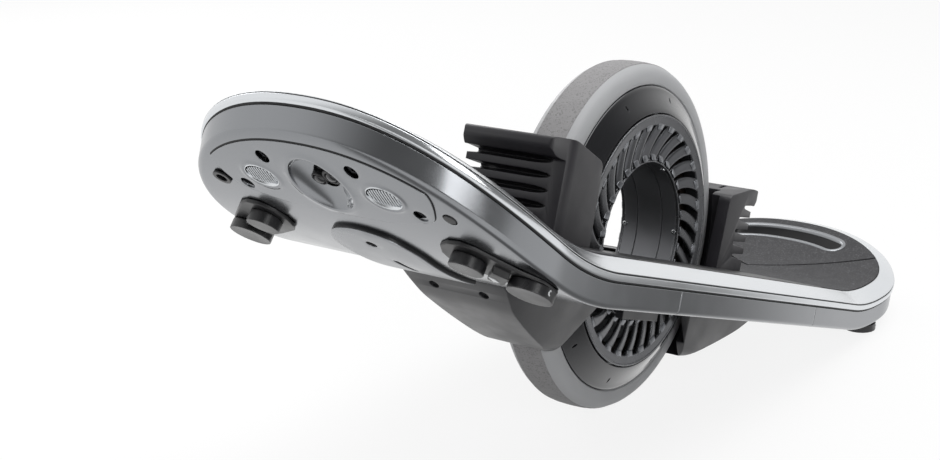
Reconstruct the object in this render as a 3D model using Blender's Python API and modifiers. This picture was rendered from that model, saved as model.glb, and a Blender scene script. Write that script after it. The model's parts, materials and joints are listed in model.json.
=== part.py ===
"""One-wheeled electric skateboard, resting on its wheel and on the two skid pads of its tail.

Everything is modelled in the board's own frame: the wheel centre is the origin, +X runs towards
the tail, +Y to the rider's left and +Z up, with the middle of the deck level. One empty then
tips the whole board about the wheel until the tail pads lie flat on the floor.
"""

import math

import bmesh
import bpy
import numpy as np
from mathutils import Matrix, Vector

MM = 0.001
GAP = 0.3 * MM

# Wheel
TYRE_RADIUS = 160 * MM
TYRE_HALF_WIDTH = 23 * MM
TYRE_SECTION = 20 * MM
TYRE_BEAD_INSET = 2 * MM
RIM_SECTION = 13 * MM
MAGNET_THICKNESS = 3.5 * MM
MAGNET_OVERHANG = 1 * MM
AIR_GAP = 0.9 * MM
WINDING_CLEARANCE = 1.5 * MM
WINDING_SEAT = 1 * MM
TOOTH_TIP = 3 * MM
TOOTH_LENGTH = 26 * MM
TOOTH_WIDTH = 13 * MM
TOOTH_COUNT = 12
STATOR_HALF_WIDTH = 13 * MM
FACE_PLATE_WIDTH = 24.5 * MM
LOUVRE_RING_WIDTH = 44 * MM
BORE_WALL = 4 * MM
HUB_HALF_WIDTH = 35.4 * MM
HUB_DISH = 4.7 * MM
LOUVRE_THICKNESS = 3 * MM
BLADE_COUNT = 30
BLADE_SLOT_WIDTH = 5 * MM
BLADE_SWEEP = math.radians(12)
BLADE_INNER_MARGIN = 2 * MM
BLADE_OUTER_MARGIN = 6 * MM
BEARING_WIDTH = 7 * MM
BEARING_SECTION = 7 * MM
BEARING_LIP = 3 * MM
FACE_PLATE_THICKNESS = 3 * MM
FACE_PLATE_DROP = 1.5 * MM
RUNNING_GAP = 0.8 * MM
WHEEL_STEPS = 48
HUB_STEPS = 36
RIM_OUTER = TYRE_RADIUS - TYRE_SECTION
HUB_FACE_RADIUS = RIM_OUTER - FACE_PLATE_WIDTH
BORE_RADIUS = HUB_FACE_RADIUS - LOUVRE_RING_WIDTH

# Deck outline and its two kicked ends
DECK_HALF_LENGTH = 471 * MM
DECK_HALF_WIDTH = 150 * MM
END_LENGTH = 128 * MM
END_EXPONENT = 2.2
KICK_LENGTH = 214 * MM
KICK_RISE = 80 * MM
RIM_LINE = -24 * MM
END_STEPS = 18
KICK_STEPS = 8
STRAIGHT_HALF_LENGTH = DECK_HALF_LENGTH - END_LENGTH
KICK_START = DECK_HALF_LENGTH - KICK_LENGTH

# Deck layers, measured from the rim's outer line
BEVEL_INSET = 18 * MM
BEVEL_RISE = 10 * MM
BAND_DEPTH = 7 * MM
RIM_LEDGE = 9 * MM
RIM_LEDGE_THICKNESS = 4 * MM
PLATE_THICKNESS = 2.7 * MM
GRIP_THICKNESS = 4 * MM
SHELL_INSET = 1.5 * MM
SHELL_SIDE_DEPTH = 24 * MM
SHELL_DEPTH = 28 * MM
SHELL_WALL = 3 * MM
SHELL_ROUND = 4.5 * MM
SEAM_X = 150 * MM

# Wheel well and the two beams that carry the hub
WELL_END_CLEARANCE = 10 * MM
HUB_CLEARANCE = 2.6 * MM
BEAM_THICKNESS = 6 * MM
BEAM_FOOT_LENGTH = 120 * MM
BEAM_FOOT_HEIGHT = 20 * MM
BEAM_NECK_LENGTH = 70 * MM
SADDLE_THICKNESS = 7 * MM
SADDLE_REACH = 14 * MM
SADDLE_HALF_ANGLE = math.radians(34)
WELL_HALF_LENGTH = TYRE_RADIUS + WELL_END_CLEARANCE
WELL_HALF_WIDTH = HUB_HALF_WIDTH + HUB_CLEARANCE + BEAM_THICKNESS

# Foot stops over the deck
TYRE_CLEARANCE = 6 * MM
HUB_SIDE_CLEARANCE = 2 * MM
STOP_SEAT = 6 * MM
STOP_BEHIND_TYRE = 30 * MM
STOP_OVERHANG = 17 * MM
STOP_LIP = 11 * MM
STOP_TOP = 70 * MM
STOP_TOP_DROP = 11 * MM
STOP_CHAMFER = 15 * MM
STOP_PITCH = 12.4 * MM
STOP_GROOVE_HEIGHT = 5 * MM
STOP_GROOVE_DEPTH = 16 * MM
STOP_GROOVE_EXTRA = (0, 8 * MM, 13 * MM, 13 * MM, 11 * MM)
STOP_GROOVE_RUN = 16 * MM
STOP_LIP_THICKNESS = 16 * MM
STOP_HALF_WIDTH = WELL_HALF_WIDTH + STOP_SEAT
STOP_INNER_X = TYRE_RADIUS - STOP_BEHIND_TYRE
STOP_TIP_X = WELL_HALF_LENGTH + STOP_OVERHANG
STOP_LIP_X = STOP_TIP_X + STOP_LIP

# Fenders under the deck
FENDER_OVERHANG = 82 * MM
FENDER_KNEE_RUN = 30 * MM
FENDER_KNEE_DROP = 22 * MM
FENDER_DROP = 53 * MM
FENDER_TIP_BEHIND_TYRE = 26 * MM
FENDER_TIP_FLAT = 8 * MM
FENDER_CHEEK_BEHIND_TYRE = 68 * MM
FENDER_CHEEK_RUN = 3 * MM
FENDER_CHEEK_DROP = 11 * MM
FENDER_SIDE_DROP = 5 * MM
FENDER_TIP_INSET = 17 * MM
FENDER_SCREW_RADIUS = 4.5 * MM
FENDER_SCREW_DEPTH = 4 * MM
FENDER_SCREW_Y = 24 * MM
FENDER_TIP_X = TYRE_RADIUS - FENDER_TIP_BEHIND_TYRE
FENDER_CHEEK_X = TYRE_RADIUS - FENDER_CHEEK_BEHIND_TYRE
FENDER_END_X = WELL_HALF_LENGTH + FENDER_OVERHANG
FENDER_KNEE_X = FENDER_END_X - FENDER_KNEE_RUN

# Grip pads, carrying slots and covers; places along the deck run in from its tip
CHEVRON_APEX_FROM_TIP = 125 * MM
CHEVRON_RIM_FROM_TIP = 42 * MM
CHEVRON_HALF_WIDTH = 106 * MM
GROOVE_WIDTH = 2.4 * MM
GROOVE_DEPTH = 2.5 * MM
GRIP_TO_STOP = 4 * MM
COVER_TO_GRIP = 2 * MM
COVER_TO_STOP = 3 * MM
GRIP_START_X = STOP_LIP_X + GRIP_TO_STOP
COVER_INNER_Y = STOP_HALF_WIDTH + COVER_TO_STOP
HANDLE_INSET = 43 * MM
HANDLE_WIDTH = 20 * MM
HANDLE_HALF_SPAN = 66 * MM
HANDLE_DEPTH = 19 * MM
LINER_WALL = 2 * MM
LIP_WIDTH = 4 * MM
LIP_HEIGHT = 1.2 * MM

# Skid pads under the four corners; each puck's place runs from PAD_X and in from the deck's side
PAD_FROM_TIP = 116 * MM
PAD_STACK = 11 * MM
SKID_THICKNESS = 3 * MM
SKID_MARGIN = 9 * MM
SKID_EDGE_INSET = 6 * MM
INNER_PUCK = (15 * MM, 58 * MM, 13 * MM)
OUTER_PUCK = (-14 * MM, 22 * MM, 17 * MM)
BLOCK_WIDTH = 22 * MM
BLOCK_CLEARANCE = 2 * MM
BLOCK_DROP = 5 * MM
PAD_X = DECK_HALF_LENGTH - PAD_FROM_TIP
PUCKS = {label: (PAD_X + along, DECK_HALF_WIDTH - inset, radius)
         for label, (along, inset, radius) in (("inner", INNER_PUCK), ("outer", OUTER_PUCK))}

# Service panels under both ends
PANEL_LENGTH = 72 * MM
PANEL_TAPER = 12 * MM
PANEL_SHOULDER = (18 * MM, 8 * MM)
PANEL_EDGE_INSET = 6.3 * MM
PANEL_TO_SIDE = 55 * MM
PANEL_THICKNESS = 3 * MM
PANEL_PROUD = 1.2 * MM
PANEL_LAP = 3 * MM
PANEL_FRONT_SCREW = (23 * MM, 39 * MM)
PANEL_SIDE_SCREW = (56 * MM, 18 * MM)
PANEL_SCREW_RADIUS = 5 * MM
PANEL_INNER_X = DECK_HALF_LENGTH - PANEL_LENGTH
PANEL_HALF_WIDTH = DECK_HALF_WIDTH - PANEL_TO_SIDE
PANEL_SCREWS = (PANEL_FRONT_SCREW, (PANEL_SIDE_SCREW[0], PANEL_HALF_WIDTH - PANEL_SIDE_SCREW[1]))

# Lamps in their scoops, and the speakers
SCOOP_FROM_TIP = 42.5 * MM
SCOOP_RADII = (24.3 * MM, 24 * MM, 12 * MM)
SCOOP_WALL = 1.6 * MM
LAMP_OFFSET = 4.5 * MM
LAMP_RADIUS = 9.5 * MM
LAMP_LENGTH = 8 * MM
LAMP_BACK = 3 * MM
LAMP_DOME = 3.5 * MM
SPEAKER_FROM_TIP = 43 * MM
SPEAKER_Y = 54 * MM
SPEAKER_RADII = (10 * MM, 14.5 * MM)
SPEAKER_PROUD = 1 * MM
SPEAKER_THICKNESS = 3.5 * MM
SPEAKER_FRAME = 2.4 * MM
SPEAKER_SLATS = 6
SPEAKER_SLAT_GAP = 1.6 * MM
SPEAKER_SLAT_SPAN = 0.78
DRIVER_RADIUS = 9.5 * MM
DRIVER_HEIGHT = 9 * MM
SCOOP_X = DECK_HALF_LENGTH - SCOOP_FROM_TIP
LAMP_X = SCOOP_X - LAMP_OFFSET
SPEAKER_CENTRE = (DECK_HALF_LENGTH - SPEAKER_FROM_TIP, SPEAKER_Y)

# Service plates between the panels and the fenders
SERVICE_TO_PANEL = 15 * MM
SERVICE_LENGTH = 109 * MM
SERVICE_HALF_WIDTH = 40 * MM
SERVICE_CORNER = 14 * MM
SERVICE_THICKNESS = 3 * MM
SERVICE_HOLE_INSET = 24 * MM
SERVICE_HOLE_RADIUS = 4.5 * MM
SERVICE_SLOT_INSET = 72 * MM
SERVICE_SLOT_SIZE = (32 * MM, 6 * MM)

# Power button and charging inlet beside the nose panel
PORT_FROM_TIP = 55 * MM
PORT_TO_SIDE = 49 * MM
BUTTON_RADIUS = 5 * MM
BUTTON_PROUD = 0.6 * MM
BUTTON_TRAVEL = 1.5 * MM
BUTTON_HEIGHT = 6 * MM
SWITCH_SIZE = (11 * MM, 11 * MM, 5 * MM)
SWITCH_LEG = 2 * MM
INLET_RADIUS = 7.5 * MM
INLET_POCKET_RADIUS = 4.5 * MM
INLET_HEIGHT = 12 * MM
INLET_END_WALL = 2 * MM
INLET_FLANGE = 2 * MM
INLET_FLANGE_THICKNESS = 1.5 * MM
PORT_X = DECK_HALF_LENGTH - PORT_FROM_TIP
PORT_Y = DECK_HALF_WIDTH - PORT_TO_SIDE

# What lies inside the deck, beyond the wall of the wheel well
BATTERY_LENGTH = 80 * MM
BATTERY_TO_SIDE = 32 * MM
BATTERY_HEADROOM = 2.3 * MM
CONTROLLER_SIZE = (70 * MM, 120 * MM, 18 * MM)
WELL_WALL_CLEARANCE = 1 * MM

# Solids that are joined overlap by JOIN, and cutters reach FAR past what they cut
JOIN = 0.01 * MM
FAR = 200 * MM

# Colours: red, green, blue, roughness, metallic
FINISHES = {
    "silver_rim": (0.78, 0.80, 0.82, 0.22, 1.0),
    "satin_shell": (0.45, 0.46, 0.48, 0.32, 0.7),
    "grip_tape": (0.03, 0.03, 0.032, 0.95, 0.0),
    "black_plastic": (0.018, 0.018, 0.02, 0.45, 0.0),
    "tyre_rubber": (0.16, 0.16, 0.165, 0.8, 0.0),
    "dark_metal": (0.05, 0.052, 0.058, 0.25, 0.8),
    "cast_metal": (0.3, 0.31, 0.33, 0.4, 0.9),
    "lamp_glass": (0.02, 0.02, 0.025, 0.05, 0.0),
    "copper": (0.6, 0.28, 0.12, 0.4, 0.9),
    "battery_wrap": (0.05, 0.12, 0.3, 0.5, 0.0),
}

# Heights that follow from the sizes above
PLATE_LOW = BEVEL_RISE - GRIP_THICKNESS - PLATE_THICKNESS + GAP
PLATE_HIGH = PLATE_LOW + PLATE_THICKNESS
GRIP_LOW = PLATE_HIGH + GAP
GRIP_HIGH = GRIP_LOW + GRIP_THICKNESS
UNDERSIDE = RIM_LINE - SHELL_DEPTH
SHELL_FLOOR = -SHELL_DEPTH + SHELL_WALL
KICK = KICK_RISE / (DECK_HALF_LENGTH - KICK_START) ** 2
STATIONS = np.linspace(KICK_START, DECK_HALF_LENGTH, KICK_STEPS + 1)
HALF_TURN = math.pi

board_parts = bpy.data.collections.new("one_wheeled_skateboard")
cutter_parts = bpy.data.collections.new("cutters")


def clear_scene():
    for old in list(bpy.data.objects):
        bpy.data.objects.remove(old, do_unlink=True)
    bpy.context.scene.collection.children.link(board_parts)
    bpy.context.scene.collection.children.link(cutter_parts)


def finish(name):
    """The material of that name, made on first use."""
    material = bpy.data.materials.get(name)
    if material:
        return material
    red, green, blue, roughness, metallic = FINISHES[name]
    material = bpy.data.materials.new(name)
    material.use_nodes = True
    shader = material.node_tree.nodes["Principled BSDF"]
    shader.inputs["Base Color"].default_value = (red, green, blue, 1)
    shader.inputs["Roughness"].default_value = roughness
    shader.inputs["Metallic"].default_value = metallic
    material.diffuse_color = (red, green, blue, 1)
    return material


def link(name, mesh, collection=None):
    obj = bpy.data.objects.new(name, mesh)
    (collection or cutter_parts).objects.link(obj)
    return obj


def discard(obj):
    bpy.data.objects.remove(obj, do_unlink=True)


def freeze(obj):
    """The object's evaluated shape as a plain mesh in the board's frame."""
    graph = bpy.context.evaluated_depsgraph_get()
    mesh = bpy.data.meshes.new_from_object(obj.evaluated_get(graph))
    mesh.transform(obj.matrix_world)
    name = obj.name
    discard(obj)
    edit = bmesh.new()
    edit.from_mesh(mesh)
    bmesh.ops.remove_doubles(edit, verts=edit.verts, dist=1e-6)
    edit.to_mesh(mesh)
    edit.free()
    return link(name, mesh)


def keep(obj, name, material, smooth=True):
    """Moves a finished solid to the board's collection under its own name and finish."""
    cutter_parts.objects.unlink(obj)
    board_parts.objects.link(obj)
    obj.name = name
    obj.data.name = name
    obj.data.materials.clear()
    obj.data.materials.append(finish(material))
    if smooth:
        obj.data.shade_smooth()
        obj.data.set_sharp_from_angle(angle=math.radians(35))
    return obj


def slab(name, loops, low, high):
    """A flat outline, with any further loops as holes, from one height to another."""
    curve = bpy.data.curves.new(name, "CURVE")
    curve.dimensions = "2D"
    curve.fill_mode = "BOTH"
    curve.extrude = (high - low) / 2
    for loop in loops:
        spline = curve.splines.new("POLY")
        spline.points.add(len(loop) - 1)
        for point, (x, y) in zip(spline.points, loop):
            point.co = (x, y, 0, 1)
        spline.use_cyclic_u = True
    obj = link(name, curve)
    obj.location.z = (high + low) / 2
    bpy.context.view_layer.update()
    return freeze(obj)


def side_slab(name, outline, half_width):
    """An outline drawn in X and Z, extruded to both sides along Y."""
    obj = slab(name, [outline], -half_width, half_width)
    obj.data.transform(Matrix.Rotation(HALF_TURN / 2, 4, "X"))
    return obj


def box(name, size, centre):
    bpy.ops.mesh.primitive_cube_add(size=1)
    obj = bpy.context.object
    obj.name = name
    obj.data.transform(Matrix.Translation(centre) @ Matrix.Diagonal((*size, 1)))
    for collection in obj.users_collection:
        collection.objects.unlink(obj)
    cutter_parts.objects.link(obj)
    return obj


def cylinder(name, radius, low, high, steps=24, centre=(0, 0)):
    bpy.ops.mesh.primitive_cylinder_add(vertices=steps, radius=radius, depth=high - low)
    obj = bpy.context.object
    obj.name = name
    obj.data.transform(Matrix.Translation((centre[0], centre[1], (low + high) / 2)))
    for collection in obj.users_collection:
        collection.objects.unlink(obj)
    cutter_parts.objects.link(obj)
    return obj


def ball(name, radii, centre, segments=24, rings=12):
    mesh = bpy.data.meshes.new(name)
    edit = bmesh.new()
    bmesh.ops.create_uvsphere(edit, u_segments=segments, v_segments=rings, radius=1)
    edit.to_mesh(mesh)
    edit.free()
    mesh.transform(Matrix.Translation(centre) @ Matrix.Diagonal((*radii, 1)))
    return link(name, mesh)


def turned(name, profile, steps=WHEEL_STEPS, closed=True):
    """A profile of (radius, y) points, turned about the wheel's axle."""
    area = sum(a[0] * b[1] - b[0] * a[1] for a, b in zip(profile, profile[1:] + profile[:1]))
    points = profile if area < 0 else profile[::-1]
    mesh = bpy.data.meshes.new(name)
    edit = bmesh.new()
    verts = [edit.verts.new((radius, 0, y)) for radius, y in points]
    for first, second in zip(verts, verts[1:] + verts[:1]):
        if closed or first is not verts[-1]:
            edit.edges.new((first, second))
    edit.to_mesh(mesh)
    edit.free()
    obj = link(name, mesh)
    screw = obj.modifiers.new("turn", "SCREW")
    screw.steps = steps
    screw.render_steps = steps
    screw.use_merge_vertices = True
    screw.merge_threshold = 0.00001
    obj.rotation_euler.x = -HALF_TURN / 2
    bpy.context.view_layer.update()
    return freeze(obj)


def cut(obj, cutters, operation="DIFFERENCE"):
    for cutter in cutters:
        change = obj.modifiers.new("cut", "BOOLEAN")
        change.operation = operation
        change.object = cutter
        change.solver = "EXACT"
        cutter.hide_render = True
        cutter.display_type = "WIRE"
    bpy.context.view_layer.update()
    solid = freeze(obj)
    for cutter in cutters:
        discard(cutter)
    return solid


def reflect(obj, along_x=1, along_y=1):
    """Mirrors a solid across the board's middle planes and keeps its faces pointing out."""
    obj.data.transform(Matrix.Diagonal((along_x, along_y, 1, 1)))
    if along_x * along_y < 0:
        obj.data.flip_normals()
    return obj


def mirrored(obj, name, along_x=1, along_y=1):
    """A finished solid's mirror image, as a sub-part of its own."""
    return reflect(link(name, obj.data.copy(), board_parts), along_x, along_y)


def soften(obj, width, segments=1, angle=math.radians(40)):
    bevel = obj.modifiers.new("soften", "BEVEL")
    bevel.width = width
    bevel.segments = segments
    bevel.limit_method = "ANGLE"
    bevel.angle_limit = angle
    bpy.context.view_layer.update()
    return freeze(obj)


def kick_height(x):
    """How far the deck rises at x, in straight steps between the stations."""
    rise = KICK * (STATIONS - KICK_START) ** 2
    return float(np.interp(abs(x), STATIONS, rise))


def kick_up(obj):
    """Bends a flat layer of the deck up at both ends."""
    edit = bmesh.new()
    edit.from_mesh(obj.data)
    bmesh.ops.dissolve_limit(edit, angle_limit=math.radians(0.1), verts=edit.verts, edges=edit.edges)
    for side in (-1, 1):
        for station in STATIONS[:-1]:
            parts = list(edit.verts) + list(edit.edges) + list(edit.faces)
            bmesh.ops.bisect_plane(edit, geom=parts, dist=1e-6,
                                   plane_co=(side * station, 0, 0), plane_no=(1, 0, 0))
    for vert in edit.verts:
        vert.co.z += kick_height(vert.co.x)
    edit.to_mesh(obj.data)
    edit.free()
    obj.data.update()
    return obj


def end_point(angle, inset):
    """A point of the tail's rounded end, moved in from the rim's outer line."""
    long = DECK_HALF_LENGTH - STRAIGHT_HALF_LENGTH
    power = 2 / END_EXPONENT
    x = long * abs(math.cos(angle)) ** power
    y = DECK_HALF_WIDTH * math.copysign(abs(math.sin(angle)) ** power, math.sin(angle))
    slope = END_EXPONENT - 1
    normal = Vector(((x / long) ** slope / long,
                     math.copysign((abs(y) / DECK_HALF_WIDTH) ** slope, y) / DECK_HALF_WIDTH))
    normal.normalize()
    return STRAIGHT_HALF_LENGTH + x - inset * normal.x, y - inset * normal.y


def end_angle(y, inset):
    """The angle at which the moved-in end outline is y to the side."""
    low, high = 0.0, 0.49 * HALF_TURN
    for _ in range(30):
        middle = (low + high) / 2
        if end_point(middle, inset)[1] < y:
            low = middle
        else:
            high = middle
    return middle


def deck_outline(inset):
    angles = [HALF_TURN * (i / END_STEPS - 0.5) for i in range(END_STEPS + 1)]
    tail = [end_point(angle, inset) for angle in angles]
    nose = [(-x, -y) for x, y in tail]
    return tail + nose


def rings(levels):
    """The deck's outline at each (inset, height above the rim line)."""
    return [[(x, y, RIM_LINE + height) for x, y in deck_outline(inset)]
            for inset, height in levels]


def loft(name, sections, wrap=False, close_last=False):
    """Faces between outlines that follow one another."""
    mesh = bpy.data.meshes.new(name)
    edit = bmesh.new()
    rows = [[edit.verts.new(point) for point in section] for section in sections]
    pairs = list(zip(rows, rows[1:] + rows[:1]))
    for near, far in pairs if wrap else pairs[:-1]:
        for i in range(len(near)):
            j = (i + 1) % len(near)
            edit.faces.new((near[i], near[j], far[j], far[i]))
    if close_last:
        edit.faces.new(rows[-1])
    bmesh.ops.recalc_face_normals(edit, faces=edit.faces)
    edit.to_mesh(mesh)
    edit.free()
    return link(name, mesh)


def rest_tilt():
    """The tilt that lays the tail pads' faces on the floor that the tyre stands on."""
    reach = PAD_X
    depth = -(UNDERSIDE + kick_height(PAD_X))
    return math.asin((TYRE_RADIUS - PAD_STACK) / math.hypot(reach, depth)) - math.atan2(depth, reach)


TILT = rest_tilt()


def wheel_space():
    """The room that the turning wheel and its hub need."""
    tyre = TYRE_RADIUS + TYRE_CLEARANCE
    half = TYRE_HALF_WIDTH + TYRE_CLEARANCE
    hub = HUB_HALF_WIDTH + HUB_SIDE_CLEARANCE
    shoulder = RIM_OUTER + TYRE_CLEARANCE
    return turned("wheel_space", [(0, hub), (shoulder, hub), (shoulder, half), (tyre, half),
                                  (tyre, -half), (shoulder, -half), (shoulder, -hub), (0, -hub)],
                  closed=False)


# Wheel

RIM_INNER = RIM_OUTER - RIM_SECTION
MAGNET_INNER = RIM_INNER - GAP - MAGNET_THICKNESS
TOOTH_RADIUS = MAGNET_INNER - AIR_GAP
YOKE_RADIUS = TOOTH_RADIUS - TOOTH_LENGTH
TUBE_RADIUS = BORE_RADIUS + BORE_WALL
BEARING_OUTER = HUB_FACE_RADIUS
BEARING_INNER = BEARING_OUTER - BEARING_SECTION
BEARING_Y = HUB_HALF_WIDTH - HUB_DISH - LOUVRE_THICKNESS - BEARING_WIDTH
RIM_HALF_WIDTH = TYRE_HALF_WIDTH - FACE_PLATE_THICKNESS
WINDING_HALF_WIDTH = BEARING_Y - WINDING_CLEARANCE


def face_height(radius):
    """The dished face of the hub: its half width at a radius."""
    share = (radius - BORE_RADIUS) / (HUB_FACE_RADIUS - BORE_RADIUS)
    return HUB_HALF_WIDTH - HUB_DISH * (1 - share)


def band(name, inner, outer, low, high, steps=WHEEL_STEPS):
    """A plain ring round the axle, from one radius to another and from low to high along Y."""
    return turned(name, [(inner, high), (outer, high), (outer, low), (inner, low)], steps)


def make_tyre():
    bead = RIM_OUTER + GAP
    half = TYRE_HALF_WIDTH
    section = TYRE_RADIUS - bead
    side = [(bead, half - TYRE_BEAD_INSET),
            (bead + 0.4 * section, half),
            (bead + 0.78 * section, 0.86 * half),
            (bead + 0.93 * section, 0.62 * half),
            (TYRE_RADIUS, 0.3 * half)]
    profile = side + [(radius, -y) for radius, y in reversed(side)]
    keep(turned("tyre", profile), "tyre", "tyre_rubber")


def make_rotor():
    half = RIM_HALF_WIDTH - GAP
    keep(band("rim", RIM_INNER, RIM_OUTER, -half, half), "rotor_rim", "cast_metal")
    half = STATOR_HALF_WIDTH + MAGNET_OVERHANG
    magnets = band("magnets", MAGNET_INNER, RIM_INNER - GAP, -half, half, HUB_STEPS)
    keep(magnets, "magnet_ring", "dark_metal")


def make_face_plate(name, side):
    """A cone from the tyre's bead up to the hub, with the bearing's seat on its inner edge."""
    thick = FACE_PLATE_THICKNESS
    inner = BEARING_OUTER + RUNNING_GAP
    top = face_height(HUB_FACE_RADIUS) - FACE_PLATE_DROP
    profile = [(RIM_OUTER, RIM_HALF_WIDTH), (RIM_OUTER, RIM_HALF_WIDTH + thick),
               (inner, top), (inner, BEARING_Y),
               (inner + thick, BEARING_Y), (inner + thick, RIM_HALF_WIDTH)]
    plate = turned(name, [(radius, side * y) for radius, y in profile])
    keep(plate, name, "dark_metal")


def make_bearing(name, side):
    outer = BEARING_OUTER + RUNNING_GAP - GAP
    ends = sorted((side * (BEARING_Y + GAP), side * (BEARING_Y + BEARING_WIDTH - GAP)))
    keep(band(name, BEARING_INNER, outer, *ends, HUB_STEPS), name, "cast_metal")


def blade_slot(turn, side):
    """One curved gap between two blades, as an outline across the hub's face."""
    first = TUBE_RADIUS + BLADE_INNER_MARGIN
    last = BEARING_INNER - BLADE_OUTER_MARGIN
    inner, outer = [], []
    for share in (0.0, 0.5, 1.0):
        radius = first + (last - first) * share
        angle = turn + side * BLADE_SWEEP * share ** 1.4
        width = BLADE_SLOT_WIDTH * (0.7 + 0.6 * share) / 2 / radius
        inner.append((radius * math.cos(angle - width), radius * math.sin(angle - width)))
        outer.append((radius * math.cos(angle + width), radius * math.sin(angle + width)))
    return inner + outer[::-1]


def make_louvre_ring(name, side):
    thick = LOUVRE_THICKNESS
    seat_low = BEARING_Y + GAP
    seat_inner = BEARING_INNER - BEARING_LIP
    seat_outer = BEARING_INNER - GAP

    def under(radius):
        return face_height(radius) - thick

    profile = [(BORE_RADIUS, face_height(BORE_RADIUS)),
               (HUB_FACE_RADIUS, face_height(HUB_FACE_RADIUS)),
               (HUB_FACE_RADIUS, under(HUB_FACE_RADIUS) + thick / 3),
               (seat_outer, under(seat_outer)), (seat_outer, seat_low),
               (seat_inner, seat_low), (seat_inner, under(seat_inner)),
               (BORE_RADIUS, under(BORE_RADIUS))]
    ring = turned(name, [(radius, side * y) for radius, y in profile], HUB_STEPS)
    outlines = [blade_slot(2 * HALF_TURN * i / BLADE_COUNT, side) for i in range(BLADE_COUNT)]
    slots = slab("slots", outlines, under(BORE_RADIUS) - thick / 3, HUB_HALF_WIDTH + thick)
    slots.data.transform(Matrix.Rotation(-side * HALF_TURN / 2, 4, "X"))
    keep(cut(ring, [slots]), name, "dark_metal")


def tooth_outline():
    """The stator core's star of teeth, across the axle."""
    corners = ((YOKE_RADIUS, -1), (TOOTH_RADIUS, -1), (TOOTH_RADIUS, 1), (YOKE_RADIUS, 1))
    outline = []
    for i in range(TOOTH_COUNT):
        turn = 2 * HALF_TURN * i / TOOTH_COUNT
        for radius, side in corners:
            angle = turn + side * math.asin(TOOTH_WIDTH / 2 / radius)
            outline.append((radius * math.cos(angle), radius * math.sin(angle)))
        middle = turn + HALF_TURN / TOOTH_COUNT
        outline.append((YOKE_RADIUS * math.cos(middle), YOKE_RADIUS * math.sin(middle)))
    return outline


def tooth_space(i):
    """The room that a winding leaves for one tooth of the core."""
    size = (TOOTH_RADIUS, TOOTH_WIDTH + 2 * GAP, 2 * (STATOR_HALF_WIDTH + GAP))
    space = box("tooth_space", size, (TOOTH_RADIUS * 0.75, 0, 0))
    turn = Matrix.Rotation(2 * HALF_TURN * i / TOOTH_COUNT, 4, "Z")
    space.data.transform(Matrix.Rotation(-HALF_TURN / 2, 4, "X") @ turn)
    return space


def make_stator():
    half = face_height(BORE_RADIUS) - LOUVRE_THICKNESS - GAP
    tube = band("tube", BORE_RADIUS, TUBE_RADIUS, -half, half, HUB_STEPS)
    keep(tube, "stator_tube", "cast_metal")
    inner = TUBE_RADIUS + GAP
    hole = oval((0, 0), (inner, inner), HUB_STEPS)
    core = slab("core", [tooth_outline(), hole], -STATOR_HALF_WIDTH, STATOR_HALF_WIDTH)
    core.data.transform(Matrix.Rotation(-HALF_TURN / 2, 4, "X"))
    keep(core, "stator_core", "cast_metal")
    winding = band("winding", YOKE_RADIUS + WINDING_SEAT, TOOTH_RADIUS - TOOTH_TIP,
                   -WINDING_HALF_WIDTH, WINDING_HALF_WIDTH, HUB_STEPS)
    winding = cut(winding, [tooth_space(i) for i in range(TOOTH_COUNT)])
    keep(winding, "stator_winding", "copper")


# Deck

def tail_half(obj):
    """The half of a layer of the deck that lies behind the middle joint."""
    length = DECK_HALF_LENGTH + FAR
    area = box("area", (length, 2 * (DECK_HALF_WIDTH + FAR), 4 * FAR), ((length + GAP) / 2, 0, 0))
    return cut(obj, [area], "INTERSECT")


def make_rim():
    inner = BEVEL_INSET + RIM_LEDGE
    ledge = PLATE_LOW - GAP
    levels = [(0, -BAND_DEPTH), (0, 0), (BEVEL_INSET, BEVEL_RISE), (BEVEL_INSET, ledge),
              (inner, ledge), (inner, ledge - RIM_LEDGE_THICKNESS), (inner / 2, -BAND_DEPTH)]
    rim = tail_half(kick_up(loft("rim_frame", rings(levels), wrap=True)))
    keep(rim, "tail_rim_frame", "silver_rim")
    mirrored(rim, "nose_rim_frame", along_x=-1)


def rectangle(low_x, high_x, low_y, high_y):
    return [(low_x, low_y), (high_x, low_y), (high_x, high_y), (low_x, high_y)]


def handle_outline(extra):
    """The arc-shaped carrying slot of the tail, grown on all sides by extra."""
    end = end_angle(HANDLE_HALF_SPAN - HANDLE_WIDTH / 2, HANDLE_INSET)
    half = HANDLE_WIDTH / 2 + extra
    steps = 10
    angles = [end * (2 * i / steps - 1) for i in range(steps + 1)]
    outer = [end_point(angle, HANDLE_INSET - half) for angle in angles]
    inner = [end_point(angle, HANDLE_INSET + half) for angle in reversed(angles)]

    def cap(angle, start):
        centre = Vector(end_point(angle, HANDLE_INSET))
        out = Vector(end_point(angle, HANDLE_INSET - half)) - centre
        turns = [start + HALF_TURN * i / 6 for i in range(1, 6)]
        return [tuple(centre + Matrix.Rotation(turn, 2) @ out) for turn in turns]

    return outer + cap(end, 0) + inner + cap(-end, HALF_TURN)


def both_ends(outline):
    return [outline, [(-x, -y) for x, y in outline]]


def make_deck_plate():
    well = rectangle(-WELL_HALF_LENGTH, WELL_HALF_LENGTH, -WELL_HALF_WIDTH, WELL_HALF_WIDTH)
    loops = [deck_outline(BEVEL_INSET + GAP), well] + both_ends(handle_outline(LINER_WALL + GAP))
    plate = slab("deck_plate", loops, RIM_LINE + PLATE_LOW, RIM_LINE + PLATE_HIGH)
    plate = tail_half(kick_up(plate))
    keep(plate, "tail_deck_plate", "dark_metal")
    mirrored(plate, "nose_deck_plate", along_x=-1)


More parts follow.
